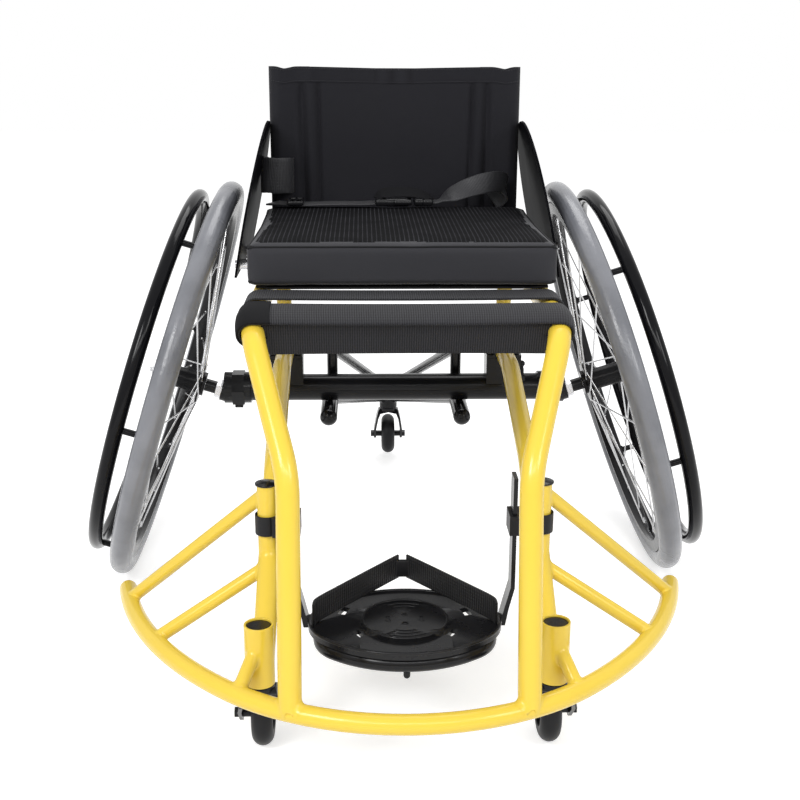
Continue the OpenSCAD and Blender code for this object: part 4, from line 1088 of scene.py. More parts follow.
@dataclass
class Tubework:
    """The welded tube frame: smooth tubes in their paint, and the beads at the joints."""

    tube_r: float = 12.7
    post_r: float = 11.1
    strut_r: float = 8.0
    housing_r: float = 16.5
    bumper_centre: tuple[float, float] = (-115.5, 232.2)
    bumper_r2: float = 477.0
    main_path: tuple[tuple[float, float, float], ...] = (
        (169.5, -46, 479), (169.5, 490, 479), (126.5, 592, 348), (126.5, 638.1, 104),
    )
    main_bends: tuple[float, ...] = (0.075, 0.090)
    lower_path: tuple[tuple[float, float, float], ...] = (
        (163, -46, 330), (163, 95, 330), (157.5, 350, 278), (161, 560, 106),
    )
    lower_bends: tuple[float, ...] = (0.090, 0.090)
    bumper_end: float = 77.7
    black: tuple[str, ...] = (
        "camber_bar", "rear_cross_tube", "antitip_tubes", "antitip_braces", "back_posts",
    )

    def bumper_spot(self, angle: float) -> tuple[Vector, Vector]:
        """A point of the bumper's centre line and its direction there.

        Args:
            angle: Direction in degrees from straight ahead.

        Returns:
            The point and the unit tangent.
        """
        a = math.radians(angle)
        cx, cy, r = (0.0, 365.0, 301.0) if angle <= 41 else (*self.bumper_centre, self.bumper_r2)
        point = at(cx + r * math.sin(a), cy + r * math.cos(a), 100)
        return point, Vector((math.cos(a), math.sin(a), 0.0))

    def on_bumper(self, angle: float) -> Rod:
        """The bumper's tube as a straight rod round one of its points."""
        point, tangent = self.bumper_spot(angle)
        return Rod(point - tangent * 0.05, point + tangent * 0.05, self.post_r * MM)

    def mirrored(self, points: Sequence[Vector]) -> list[Vector]:
        """The same points on the other side of the centre plane."""
        return [Vector((-p.x, p.y, p.z)) for p in points]

    def tube(self, node: str, paths: Sequence[Sequence[Vector]], radius: float) -> None:
        """Makes a node's tubes from their centre lines.

        Args:
            node: The CAD node that they stand for.
            paths: The centre line of each tube.
            radius: Millimetres from a centre line to the tube's surface.
        """
        tubes = [tube_mesh(node, path, radius * MM, False, 44) for path in paths]
        placed(f"{node}_finished", joined(node, tubes, 50), [YELLOW], Body.FRAME.value, [node])

    def frame_tubes(self) -> None:
        """Makes the yellow tubes, smoother than their solids."""
        main = bent_path([at(*p) for p in self.main_path], self.main_bends)
        lower = bent_path([at(*p) for p in self.lower_path], self.lower_bends)
        self.tube("main_tube_left", [main], self.tube_r)
        self.tube("main_tube_right", [self.mirrored(main)], self.tube_r)
        self.tube("lower_tube_left", [lower], self.tube_r)
        self.tube("lower_tube_right", [self.mirrored(lower)], self.tube_r)
        half = [self.bumper_spot(self.bumper_end * k / 44)[0] for k in range(45)]
        line = self.mirrored(half[:0:-1]) + half
        bumper = tube_mesh("bumper", line, self.post_r * MM, False, 44)
        ends = bmesh.new()
        for spot in (line[0], line[-1]):
            bmesh.ops.create_uvsphere(ends, u_segments=32, v_segments=24, radius=self.post_r * MM,
                                      matrix=Matrix.Translation(spot))
        caps = meshed("bumper ends", ends)
        placed("bumper_finished", joined("bumper", [bumper, caps], 60), [YELLOW],
               Body.FRAME.value, ["bumper"])
        single = {
            "rear_uprights": ([at(163, -32, 330), at(169.5, -32, 479)], self.post_r),
            "footrest_posts": ([at(160.5, 450, 192), at(160.5, 450, 285)], self.post_r),
            "upper_struts": ([at(160.5, 450, 275), self.bumper_spot(74)[0]], self.strut_r),
            "lower_struts": ([at(159.3, 460, 188), self.bumper_spot(59.5)[0]], self.strut_r),
            "bumper_stubs": ([at(164, 560, 141.4), self.bumper_spot(38)[0]], self.strut_r),
        }
        for node, (line, radius) in single.items():
            self.tube(node, [line, self.mirrored(line)], radius)

    def yellow_joints(self) -> list[tuple[Rod, Rod]]:
        """Pairs of branch and through tube on the left of the yellow frame."""
        rail = Rod(at(169.5, -46, 479), at(169.5, 400, 479), self.tube_r * MM)
        lower = Rod(at(163, -46, 330), at(163, 95, 330), self.tube_r * MM)
        slope = Rod(at(157.5, 350, 278), at(161, 560, 106), self.tube_r * MM)
        post = Rod(at(160.5, 450, 285), at(160.5, 450, 190), self.post_r * MM)
        housing = Rod(at(164, 560, 91), at(164, 560, 163), self.housing_r * MM)
        upright = Rod(at(163, -32, 330), at(169.5, -32, 479), self.post_r * MM)
        upper = Rod(at(160.5, 450, 275), self.bumper_spot(74)[0], self.strut_r * MM)
        low = Rod(at(159.3, 460, 188), self.bumper_spot(59.5)[0], self.strut_r * MM)
        stub = Rod(at(164, 560, 141.4), self.bumper_spot(38)[0], self.strut_r * MM)
        front = Rod(at(126.5, 592, 348), at(126.5, 638.1, 104), self.tube_r * MM)

        def back(rod: Rod) -> Rod:
            """The same rod from its far end."""
            return Rod(rod.end, rod.start, rod.radius)

        return [
            (upright, rail), (back(upright), lower), (upper, self.on_bumper(74)),
            (low, self.on_bumper(59.5)), (stub, self.on_bumper(38)), (back(stub), housing),
            (back(upper), post), (back(low), slope), (post, slope), (slope, housing),
            (front, self.on_bumper(24.85)),
        ]

    def black_joints(self) -> list[tuple[Rod, Rod]]:
        """Pairs of branch and through tube on the left of the black rear frame."""
        housing = Rod(at(0, -442, 109), at(0, -442, 172), self.housing_r * MM)
        upright = Rod(at(163, -32, 330), at(169.5, -32, 479), self.post_r * MM)
        cross = Rod(at(0, -32, 354), at(163, -32, 354), self.tube_r * MM)
        sweep = Rod(at(99, -60, 240.5), at(9, -442, 131), self.tube_r * MM)
        brace = Rod(at(94.5, -32, 326), at(9, -442, 151), self.strut_r * MM)
        post = Rod(at(94.5, -32, 250), at(94.5, -32, 354), self.post_r * MM)
        return [(cross, upright), (sweep, housing), (brace, housing), (post, cross)]

    def beads(self, name: str, pairs: Sequence[tuple[Rod, Rod]], finish: Finish) -> None:
        """Welds every pair on both sides.

        Args:
            name: The piece's name.
            pairs: Branch and through tube of each joint on the left.
            finish: The beads' finish.
        """
        meshes = []
        for branch, through in pairs:
            size = (0.0048 if branch.radius < 0.01 else 0.0065)
            meshes.append(weld(branch, through, size))
            meshes.append(weld(branch.mirrored(), through.mirrored(), size))
        placed(name, joined(name, meshes, 80.0), [finish], Body.FRAME.value)

    def build(self) -> None:
        """Dresses the tubes and adds their welds."""
        self.frame_tubes()
        for node in self.black:
            refined(node, BLACK_PAINT)
        refined("caster_housings", YELLOW, 0.0008)
        refined("tube_caps", GLOSS_PLASTIC, 0.0006)
        refined("antitip_housing", BLACK_PAINT, 0.0008)
        self.beads("frame_welds", self.yellow_joints(), YELLOW)
        self.beads("rear_frame_welds", self.black_joints(), BLACK_PAINT)


@dataclass
class RearWheel:
    """A cambered rear wheel with its tyre, rim, spokes, hub and handrim."""

    side: str
    camber: float = 17.3
    hub_x: float = 323.7
    hub_z: float = 290.04
    tyre_ring: float = 286.5
    tyre_r: float = 16.5
    rim_inner: float = 254.2
    spoke_hole_r: float = 28.0
    rim_end_r: float = 256.2
    flanges: tuple[float, float] = (-33.0, 25.0)
    per_flange: int = 16
    crossing: float = 67.5
    steps: int = 144

    @property
    def body(self) -> str:
        """The body that the wheel turns with."""
        return f"rear_wheel_{self.side}"

    @property
    def place(self) -> Matrix:
        """The matrix from the wheel's own axes to the model's frame, in metres."""
        g = math.radians(self.camber)
        turn = Matrix(((0, 1, 0), (-math.sin(g), 0, math.cos(g)), (math.cos(g), 0, math.sin(g))))
        left = Matrix.Translation(at(self.hub_x, 0, self.hub_z)) @ turn.transposed().to_4x4()
        return left if self.side == "left" else Matrix.Scale(-1, 4, (1, 0, 0)) @ left

    def local(self, angle: float, radius: float, out: float) -> Vector:
        """A point of the wheel in the model's frame.

        Args:
            angle: Degrees from the top towards the front.
            radius: Millimetres from the hub's axis.
            out: Millimetres outboard of the wheel's plane.

        Returns:
            The point in metres.
        """
        a = math.radians(angle)
        own = Vector((-radius * math.sin(a), radius * math.cos(a), out)) * MM
        return self.place @ own

    def tyre_profile(self) -> list[tuple[float, float]]:
        """The tyre's section: a round casing with side ridges and fine tread grooves."""
        profile = []
        for i in range(73):
            a = 2 * math.pi * i / 72
            bump = 0.0
            degrees = math.degrees(a) % 360
            for mark in (38, 322):
                bump += 0.35 * math.exp(-((degrees - mark) / 3.2) ** 2)
            if degrees < 24 or degrees > 336:
                bump -= 0.18 * (0.5 + 0.5 * math.cos(math.radians(degrees * 30)))
            r = self.tyre_r - 0.35 + bump
            profile.append(((self.tyre_ring + r * math.cos(a)) * MM, r * math.sin(a) * MM))
        return profile

    def tyre(self) -> None:
        """Turns the tyre."""
        mesh = turned_part(self.tyre_profile(), self.steps, self.place, 60)
        placed(f"tyre_{self.side}_finished", mesh, [TYRE], self.body, [f"tyre_{self.side}"])

    def spoke_ends(self) -> list[tuple[Vector, Vector]]:
        """The hub end and the rim end of every spoke, as they run in the CAD."""
        ends = []
        for flange in self.flanges:
            outer = flange > 0
            for k in range(self.per_flange):
                way = 1 if k % 2 == 0 else -1
                hub_angle = 22.5 * k + (11.25 if outer else 0.0)
                rim_angle = hub_angle + way * self.crossing
                lean = 1.2 if outer else -1.2
                ends.append((self.local(hub_angle, self.spoke_hole_r, flange),
                             self.local(rim_angle, self.rim_end_r, lean)))
        return ends

    def nipples(self) -> None:
        """Adds a nipple at the rim end of every spoke, and the valve between two of them."""
        bm = bmesh.new()
        for hub, rim in self.spoke_ends():
            way = (hub - rim).normalized()
            spot = axes(rim + way * 0.007, way)
            bmesh.ops.create_cone(bm, cap_ends=True, segments=8, radius1=0.0023, radius2=0.0017,
                                  depth=0.011, matrix=spot)
        placed(f"spoke_nipples_{self.side}", meshed("nipples", bm), [SPOKE_STEEL], self.body)
        profile = [(0, 0), (2.6, 0), (3.0, 0.5), (3.0, 4), (2.6, 4.6), (2.6, 22), (3.4, 22.6),
                   (3.4, 31), (2.4, 32.6), (0, 33)]
        scaled = [(r * MM, z * MM) for r, z in profile]
        foot = self.local(174, self.rim_inner + 1, 0)
        stem = turned_part(scaled, 16, axes(foot, self.local(174, 100, 0) - foot), 30)
        placed(f"valve_{self.side}", stem, [GLOSS_PLASTIC], self.body)

    def build(self) -> None:
        """Dresses the wheel."""
        side = self.side
        self.tyre()
        refined(f"rim_{side}", RIM_BLACK, 0.0004)
        refined(f"handrim_{side}", HANDRIM_COAT)
        refined(f"hub_{side}", BLACK_PAINT, 0.0005)
        refined(f"spokes_{side}", SPOKE_STEEL)
        refined(f"axle_button_{side}", STEEL, 0.0004)
        self.nipples()


@dataclass
class Hardware:
    """The small rigid parts: clamps, nuts, pins, casters and their forks."""

    parts: tuple[tuple[str, Finish, float], ...] = (
        ("bar_clamps", BLACK_PAINT, 0.0008), ("clamp_screws", BLACK_STEEL, 0.0003),
        ("camber_plugs", BLACK_PAINT, 0.0005), ("axle_sleeves", BLACK_PAINT, 0.0004),
        ("axle_nuts", STEEL, 0.0004), ("axle_pins", STEEL, 0.0004),
        ("caster_bearings", STEEL, 0.0), ("guard_bolts", STEEL, 0.0003),
        ("caster_fork_left", BLACK_PAINT, 0.0008), ("caster_fork_right", BLACK_PAINT, 0.0008),
        ("antitip_fork", BLACK_PAINT, 0.0008), ("caster_axle_left", AXLE_BLACK, 0.0003),
        ("caster_axle_right", AXLE_BLACK, 0.0003), ("antitip_axle", AXLE_BLACK, 0.0003),
        ("caster_wheel_left", CASTER_RUBBER, 0.0), ("caster_wheel_right", CASTER_RUBBER, 0.0),
        ("antitip_wheel", CASTER_RUBBER, 0.0), ("side_guards", GUARD, 0.0006),
        ("footrest_clamps", PLASTIC, 0.0008), ("footrest_frame", BLACK_PAINT, 0.0005),
    )

    def knobs(self) -> None:
        """Adds the studs with round heads that stand beside the camber bar's clamps."""
        profile = [(0, 0), (3.4, 0), (3.4, 12), (2.7, 13), (2.7, 16)]
        profile += [(4.8 * math.sin(math.radians(t)), 20 - 4.8 * math.cos(math.radians(t)))
                    for t in range(35, 181, 12)] + [(0, 24.8)]
        meshes = []
        for side in (-1, 1):
            meshes.append(rounded_box(at(side * 188, 12, 291), (0.017, 0.015, 0.011), 0.0025))
            scaled = [(r * MM, z * MM) for r, z in profile]
            meshes.append(turned_part(scaled, 24, axes(at(side * 191, 12, 292), Vector((0, 0, 1)))))
        placed("clamp_knobs", joined("clamp_knobs", meshes), [BLACK_PAINT], Body.FRAME.value)

    def build(self) -> None:
        """Dresses every part."""
        for node, finish, edge in self.parts:
            refined(node, finish, edge)
        self.knobs()


@dataclass
class Footplate:
    """The footplate: its rolled rim, the beads round its disc and the ridges on it."""

    ahead: float = 471.0
    half_width: float = 114.0
    half_length: float = 84.0
    end_r: float = 62.0
    lip_z: float = 120.2
    disc_z: float = 122.6
    disc_r: float = 51.0
    ridges: tuple[float, ...] = (31.0, 38.0, 45.0)

    def outline(self, inset: float) -> list[Vector]:
        """The plate's outline of four tangent arcs.

        Args:
            inset: Millimetres inside the plate's edge.

        Returns:
            A closed ring of points.
        """
        end_x = self.half_width - self.end_r
        side_r = (end_x ** 2 + self.half_length ** 2 - self.end_r ** 2) / (
            2 * (self.half_length - self.end_r))
        side_c = side_r - self.half_length
        meet = math.degrees(math.atan2(side_c, end_x))
        arcs = ((end_x, 0, self.end_r, -meet, meet), (0, -side_c, side_r, meet, 180 - meet),
                (-end_x, 0, self.end_r, 180 - meet, 180 + meet),
                (0, side_c, side_r, 180 + meet, 360 - meet))
        ring = []
        for cx, cy, r, start, end in arcs:
            for k in range(24):
                a = math.radians(start + (end - start) * k / 24)
                ring.append(at(cx + (r - inset) * math.cos(a),
                               self.ahead + cy + (r - inset) * math.sin(a), self.lip_z))
        return ring

    def arc(self, radius: float, facing: float, half: float, height: float) -> list[Vector]:
        """Points of an arc round the plate's centre.

        Args:
            radius: Millimetres from the centre.
            facing: The arc's middle direction in degrees, 90 being forwards.
            half: Half its angle in degrees.
            height: Millimetres over the floor.

        Returns:
            The points.
        """
        turns = [math.radians(facing - half + 2 * half * k / 24) for k in range(25)]
        return [at(radius * math.cos(a), self.ahead + radius * math.sin(a), height) for a in turns]

    def build(self) -> None:
        """Dresses the plate and raises its details."""
        refined("footplate", PLATE, sharp=20.0)
        details = [tube_mesh("rim", self.outline(1.6), 0.0021, True, 10),
                   tube_mesh("disc bead", self.arc(self.disc_r - 0.6, 0, 180, self.disc_z)[:-1],
                             0.0016, True, 10)]
        for i, radius in enumerate(self.ridges):
            for facing in (-90, 90):
                if i < 2 or facing == 90:
                    ridge = self.arc(radius + 2.2, facing, 24 + 5 * i, self.disc_z)
                    details.append(tube_mesh("ridge", ridge, 0.0013, False, 8))
        for x, y in ((0, 12), (0, -10), (20, 4), (-20, 4)):
            ring = [at(x + 3.1 * math.cos(a), self.ahead + y + 3.1 * math.sin(a), 123.0)
                    for a in (2 * math.pi * k / 16 for k in range(16))]
            details.append(tube_mesh("hole rim", ring, 0.0007, True, 8))
        placed("footplate_ridges", joined("footplate_ridges", details, 60), [PLATE], Body.FOOTREST.value)


@dataclass
class Straps:
    """The webbing under the seat, behind the calves and at the heels."""

    rail_x: float = 169.5
    rail_z: float = 479.0
    wrap_r: float = 14.3
    thickness: float = 2.6
    bend_start: float = 452.2
    bend_r: float = 75.0

    def rail_at(self, ahead: float) -> tuple[Vector, Vector]:
        """The left rail's centre and upward direction at a distance ahead of the axle."""
        if ahead <= self.bend_start:
            return at(self.rail_x, ahead, self.rail_z), Vector((0, 0, 1))
        a = math.asin((ahead - self.bend_start) / self.bend_r)
        drop = self.bend_r * (1 - math.cos(a))
        centre = at(self.rail_x - 0.312 * drop, ahead, self.rail_z - 0.95 * drop)
        return centre, Vector((0, -math.sin(a), math.cos(a)))

    def section(self, wrap: float) -> list[tuple[float, float]]:
        """The loop's path across the chair: x and height over the rails' centre line.

        Args:
            wrap: Degrees that the webbing runs round each rail from its top.

        Returns:
            Points from under the right rail, over the top, to under the left rail.
        """
        left = [(self.rail_x + self.wrap_r * math.sin(math.radians(wrap * t / 14)),
                 self.wrap_r * math.cos(math.radians(wrap * t / 14))) for t in range(15)]
        top = [(x, self.wrap_r - 1.2 * (1 - (x / 165) ** 2)) for x in range(-150, 151, 25)]
        return [(-x, h) for x, h in reversed(left)] + top + left

    def over_rails(self, name: str, start: float, end: float, wrap: float, columns: int,
                   extra: float = 0.0, keep: int | None = None) -> bpy.types.Mesh:
        """A strap over both rails, from one distance ahead of the axle to another.

        Args:
            name: The mesh's name.
            start: Its rear edge, in millimetres ahead of the axle.
            end: Its front edge.
            wrap: Degrees that it runs round each rail.
            columns: Faces across its width.
            extra: Millimetres that it lies further out than the first layer.
            keep: Points of the path that it follows from the right rail, or None for all.

        Returns:
            The mesh.
        """
        path = self.section(wrap)[:keep]
        bm = bmesh.new()
        uv = bm.loops.layers.uv.new("UVMap")
        bmesh.ops.create_grid(bm, x_segments=len(path) - 1, y_segments=columns, size=0.5)
        flat = [Vector((x, h, 0)) for x, h in path]
        runs = [0.0]
        for a, b in zip(flat, flat[1:]):
            runs.append(runs[-1] + (b - a).length * MM)
        for face in bm.faces:
            for loop in face.loops:
                row = round((loop.vert.co.x + 0.5) * (len(path) - 1))
                loop[uv].uv = (runs[row], (loop.vert.co.y + 0.5) * (end - start) * MM)
        for vert in bm.verts:
            row = round((vert.co.x + 0.5) * (len(path) - 1))
            x, h = path[row]
            if extra:
                off = Vector((max(0.0, abs(x) - self.rail_x), h)).normalized() * extra
                x, h = x + math.copysign(off.x, x), h + off.y
            centre, up = self.rail_at(start + (vert.co.y + 0.5) * (end - start))
            share = x / self.rail_x
            spot = centre + up * (h * MM)
            spot.x = centre.x * share if abs(share) < 1 else math.copysign(
                centre.x + (abs(x) - self.rail_x) * MM, x)
            vert.co = spot
        bmesh.ops.recalc_face_normals(bm, faces=bm.faces)
        bmesh.ops.solidify(bm, geom=bm.faces, thickness=self.thickness * MM)
        edges = [e for e in bm.edges if e.is_manifold and e.calc_face_angle(0.0) > math.radians(60)]
        bmesh.ops.bevel(bm, geom=edges, offset=0.0007, offset_type="OFFSET", affect="EDGES",
                        segments=2, profile=0.5, material=-1, clamp_overlap=True)
        return meshed(name, bm, 50)

    def calf(self) -> None:
        """The band behind the calves, slung between the bends."""
        up = Vector((0, -math.sin(math.radians(23)), math.cos(math.radians(23))))
        spine = smooth_path([at(x, 470 - 4 * (1 - (x / 165) ** 2), 446) + up * 0.020
                             for x in (-158, -120, -60, 0, 60, 120, 158)], 40)
        mesh = ribbon("calf", spine, [up] * 40, 0.040, self.thickness * MM)
        placed("calf_strap_webbing", mesh, [WEBBING], Body.FRAME.value, ["calf_strap"])

    def heel(self) -> None:
        """The two ribbed straps behind the heels and the block that they are fixed to."""
        halves = []
        for side in (-1, 1):
            line = [at(side * x, a, z) for x, a, z in (
                (109, 481, 131), (105, 469.6, 134.5), (80, 446.4, 138.8), (50, 419, 143.3),
                (22, 393.5, 147.4), (6, 379.6, 149.8))]
            spine = smooth_path(line, 48)
            halves.append(ribbon("heel", spine, [Vector((0, 0, 1))] * 48, 0.031, 0.003, 6))
        placed("heel_strap_webbing", joined("heel", halves, 50), [HEEL_WEBBING],
               Body.FOOTREST.value, ["heel_strap"])
        block = rounded_box(at(0, 381.5, 147), (0.017, 0.006, 0.022), 0.0015)
        placed("heel_strap_block", block, [PLASTIC], Body.FOOTREST.value)

    def on_top(self, x: float, ahead: float, out: float) -> tuple[Vector, Vector]:
        """A place on a strap's top face.

        Args:
            x: Millimetres to the left.
            ahead: Millimetres in front of the axle.
            out: Millimetres over the strap's middle.

        Returns:
            The point and the way out of the face.
        """
        centre, up = self.rail_at(ahead)
        height = self.wrap_r - 1.2 * (1 - min(1.0, abs(x) / 165) ** 2) + out
        spot = centre + up * (height * MM)
        return Vector((centre.x * x / self.rail_x, spot.y, spot.z)), up

    def stitching(self) -> None:
        """Rows of stitches across the straps' ends, and a seam on the calf strap."""
        rows = []
        lift = self.thickness / 2 + 0.1
        for start, end in ((362, 408), (439, 485)):
            for x in (-118, 118, 146, 152):
                spots = [self.on_top(x, start + (end - start) * k / 6, lift) for k in range(7)]
                rows.append(stitches([s for s, _ in spots], [u for _, u in spots]))
        up = Vector((0, -math.sin(math.radians(23)), math.cos(math.radians(23))))
        face = Vector((0, -math.cos(math.radians(23)), -math.sin(math.radians(23))))
        for x in (70, 75):
            foot = at(x, 466.6, 446) + face * 0.0016
            line = [foot + up * (0.002 + 0.006 * k) for k in range(7)]
            rows.append(stitches(line, [face] * 7))
        placed("strap_stitching", joined("strap_stitching", rows), [THREAD], Body.FRAME.value)

    def tape(self) -> None:
        """The hook tape that closes the front strap round the right rail."""
        mesh = self.over_rails("front_strap_tape", 436, 488, 200, 10, 2.3, 16)
        placed("front_strap_tape", mesh, [TAPE], Body.FRAME.value)

    def build(self) -> None:
        """Makes every strap."""
        for node, start, end, wrap in (("seat_strap", 360, 410, 200), ("front_strap", 437, 487, 250)):
            placed(f"{node}_webbing", self.over_rails(node, start, end, wrap, 10), [WEBBING],
                   Body.FRAME.value, [node])
        self.calf()
        self.heel()
        self.tape()
        self.stitching()


@dataclass
class Cushion:
    """The seat cushion: mesh top, plain sides, piping at the upper and lower seams."""

    width: float = 365.0
    length: float = 330.0
    rear: float = 20.0
    bottom: float = 497.3
    thickness: float = 53.0
    crown: float = 1.8
    corner: float = 13.0
    proud: float = 3.0
    cap: float = 0.006
    swell: float = 0.7

    @property
    def centre(self) -> Vector:
        """The middle of the cushion's underside."""
        return at(0, self.rear + self.length / 2, self.bottom)

    def pillow(self) -> bpy.types.Object:
        """The starting form, a little smaller than the finished cushion."""
        bm = bmesh.new()
        bmesh.ops.create_cube(bm, size=1.0)
        size = Vector((self.width - 3, self.length - 3, self.thickness - 2)) * MM
        bmesh.ops.scale(bm, vec=size, verts=bm.verts)
        upright = [e for e in bm.edges if abs(e.verts[0].co.z - e.verts[1].co.z) > 0.001]
        bmesh.ops.bevel(bm, geom=upright, offset=self.corner * MM, offset_type="OFFSET",
                        affect="EDGES", segments=6, profile=0.5, material=-1)
        level = [e for e in bm.edges if abs(e.verts[0].co.z - e.verts[1].co.z) < 1e-6]
        bmesh.ops.bevel(bm, geom=level, offset=0.002, offset_type="OFFSET", affect="EDGES",
                        segments=2, profile=0.5, material=-1)
        bmesh.ops.translate(bm, vec=self.centre + Vector((0, 0, self.thickness / 2 * MM)), verts=bm.verts)
        piece = bpy.data.objects.new("seat_cushion", meshed("seat_cushion", bm))
        bpy.context.scene.collection.objects.link(piece)
        return piece

    def remesh(self, piece: bpy.types.Object) -> None:
        """Gives the form an even skin of small faces.

        Args:
            piece: The cushion.
        """
        even = piece.modifiers.new("Even skin", "REMESH")
        even.mode = "VOXEL"
        even.voxel_size = 0.0055
        self.apply(piece)

    def apply(self, piece: bpy.types.Object) -> None:
        """Makes the modifiers' result the piece's own mesh and removes them.

        Args:
            piece: The cushion.
        """
        graph = bpy.context.evaluated_depsgraph_get()
        done = bpy.data.meshes.new_from_object(piece.evaluated_get(graph))
        piece.modifiers.clear()
        old = piece.data
        piece.data = done
        bpy.data.meshes.remove(old)

    def inflate(self, piece: bpy.types.Object) -> None:
        """Lets the cover swell by cloth pressure, and keeps every point near its start.

        Args:
            piece: The cushion.
        """
        start = [v.co.copy() for v in piece.data.vertices]
        cloth = piece.modifiers.new("Swell", "CLOTH")
        cloth.settings.use_pressure = True
        cloth.settings.uniform_pressure_force = 4.0
        cloth.settings.quality = 4
        cloth.settings.tension_stiffness = 18
        cloth.settings.compression_stiffness = 18
        cloth.settings.bending_stiffness = 1.5
        cloth.settings.effector_weights.gravity = 0.0
        scene = bpy.context.scene
        for step in range(1, 21):
            scene.frame_set(step)
        self.apply(piece)
        scene.frame_set(1)
        for vert, home in zip(piece.data.vertices, start):
            move = vert.co - home
            if move.length > self.cap:
                move = move.normalized() * self.cap
            vert.co = home + move * self.swell
            vert.co.z = max(vert.co.z, self.bottom * MM)

    def form(self, piece: bpy.types.Object) -> None:
        """Crowns the top, draws the sides in between the corners and keeps the box.

        Args:
            piece: The cushion.
        """
        mid = self.centre
        half = Vector((self.width / 2 + self.proud, self.length / 2 + self.proud)) * MM
        top = (self.bottom + self.thickness) * MM
        for axis, low, high in ((0, mid.x - half.x, mid.x + half.x), (1, mid.y - half.y, mid.y + half.y),
                                (2, self.bottom * MM, top)):
            found = [v.co[axis] for v in piece.data.vertices]
            least, most = min(found), max(found)
            for vert in piece.data.vertices:
                vert.co[axis] = low + (vert.co[axis] - least) / (most - least) * (high - low)
        for vert in piece.data.vertices:
            u = (vert.co.x - mid.x) / half.x
            v = (vert.co.y - mid.y) / half.y
            lift = max(0.0, (vert.co.z - self.bottom * MM) / (top - self.bottom * MM))
            vert.co.x -= 0.0022 * u * (1 - v * v)
            vert.co.y -= 0.0022 * v * (1 - u * u)
            vert.co.z += self.crown * MM * (1 - u * u) * (1 - v * v) * lift
            vert.co.z = min(vert.co.z, top + self.crown * MM * 1.6)

    def outline(self, inset: float, height: float) -> list[Vector]:
        """A rounded rectangle round the cushion.

        Args:
            inset: Millimetres inside the cushion's edge.
            height: Millimetres over the cushion's underside.

        Returns:
            A closed ring of points.
        """
        w, d = self.width / 2 + self.proud - inset, self.length / 2 + self.proud - inset
        r = self.corner
        ring = []
        for q, (sx, sy) in enumerate(((1, 1), (-1, 1), (-1, -1), (1, -1))):
            for k in range(7):
                a = math.radians(90 * q + 15 * k)
                ring.append(Vector((sx * (w - r) + r * math.cos(a), sy * (d - r) + r * math.sin(a), height)) * MM
                            + self.centre)
        return smooth_path(ring, 180, True)

    def build(self) -> None:
        """Makes the cushion with its seams."""
        piece = self.pillow()
        self.remesh(piece)
        self.inflate(piece)
        self.form(piece)
        fine = piece.modifiers.new("Fine skin", "SUBSURF")
        fine.levels = fine.render_levels = 1
        self.apply(piece)
        mesh = piece.data
        mesh.materials.clear()
        for finish in (SIDE_CLOTH, TOP_MESH):
            mesh.materials.append(finish.material())
        seam = (self.bottom + self.thickness - 2.2) * MM
        for face in mesh.polygons:
            face.use_smooth = True
            face.material_index = 1 if face.normal.z > 0.3 and face.center.z > seam else 0
        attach(piece, Body.FRAME.value)
        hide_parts("cushion")
        skin = BVHTree.FromObject(piece, bpy.context.evaluated_depsgraph_get())
        cords = []
        for inset, height in ((0.6, self.thickness - 2.2), (1.5, 4.0)):
            ring = []
            for point in self.outline(inset, height):
                spot, normal, _, _ = skin.find_nearest(point)
                ring.append(spot + normal * 0.0002)
            cords.append(tube_mesh("piping", ring, 0.0013, True, 8))
        placed("cushion_piping", joined("cushion_piping", cords, 60), [PIPING], Body.FRAME.value)


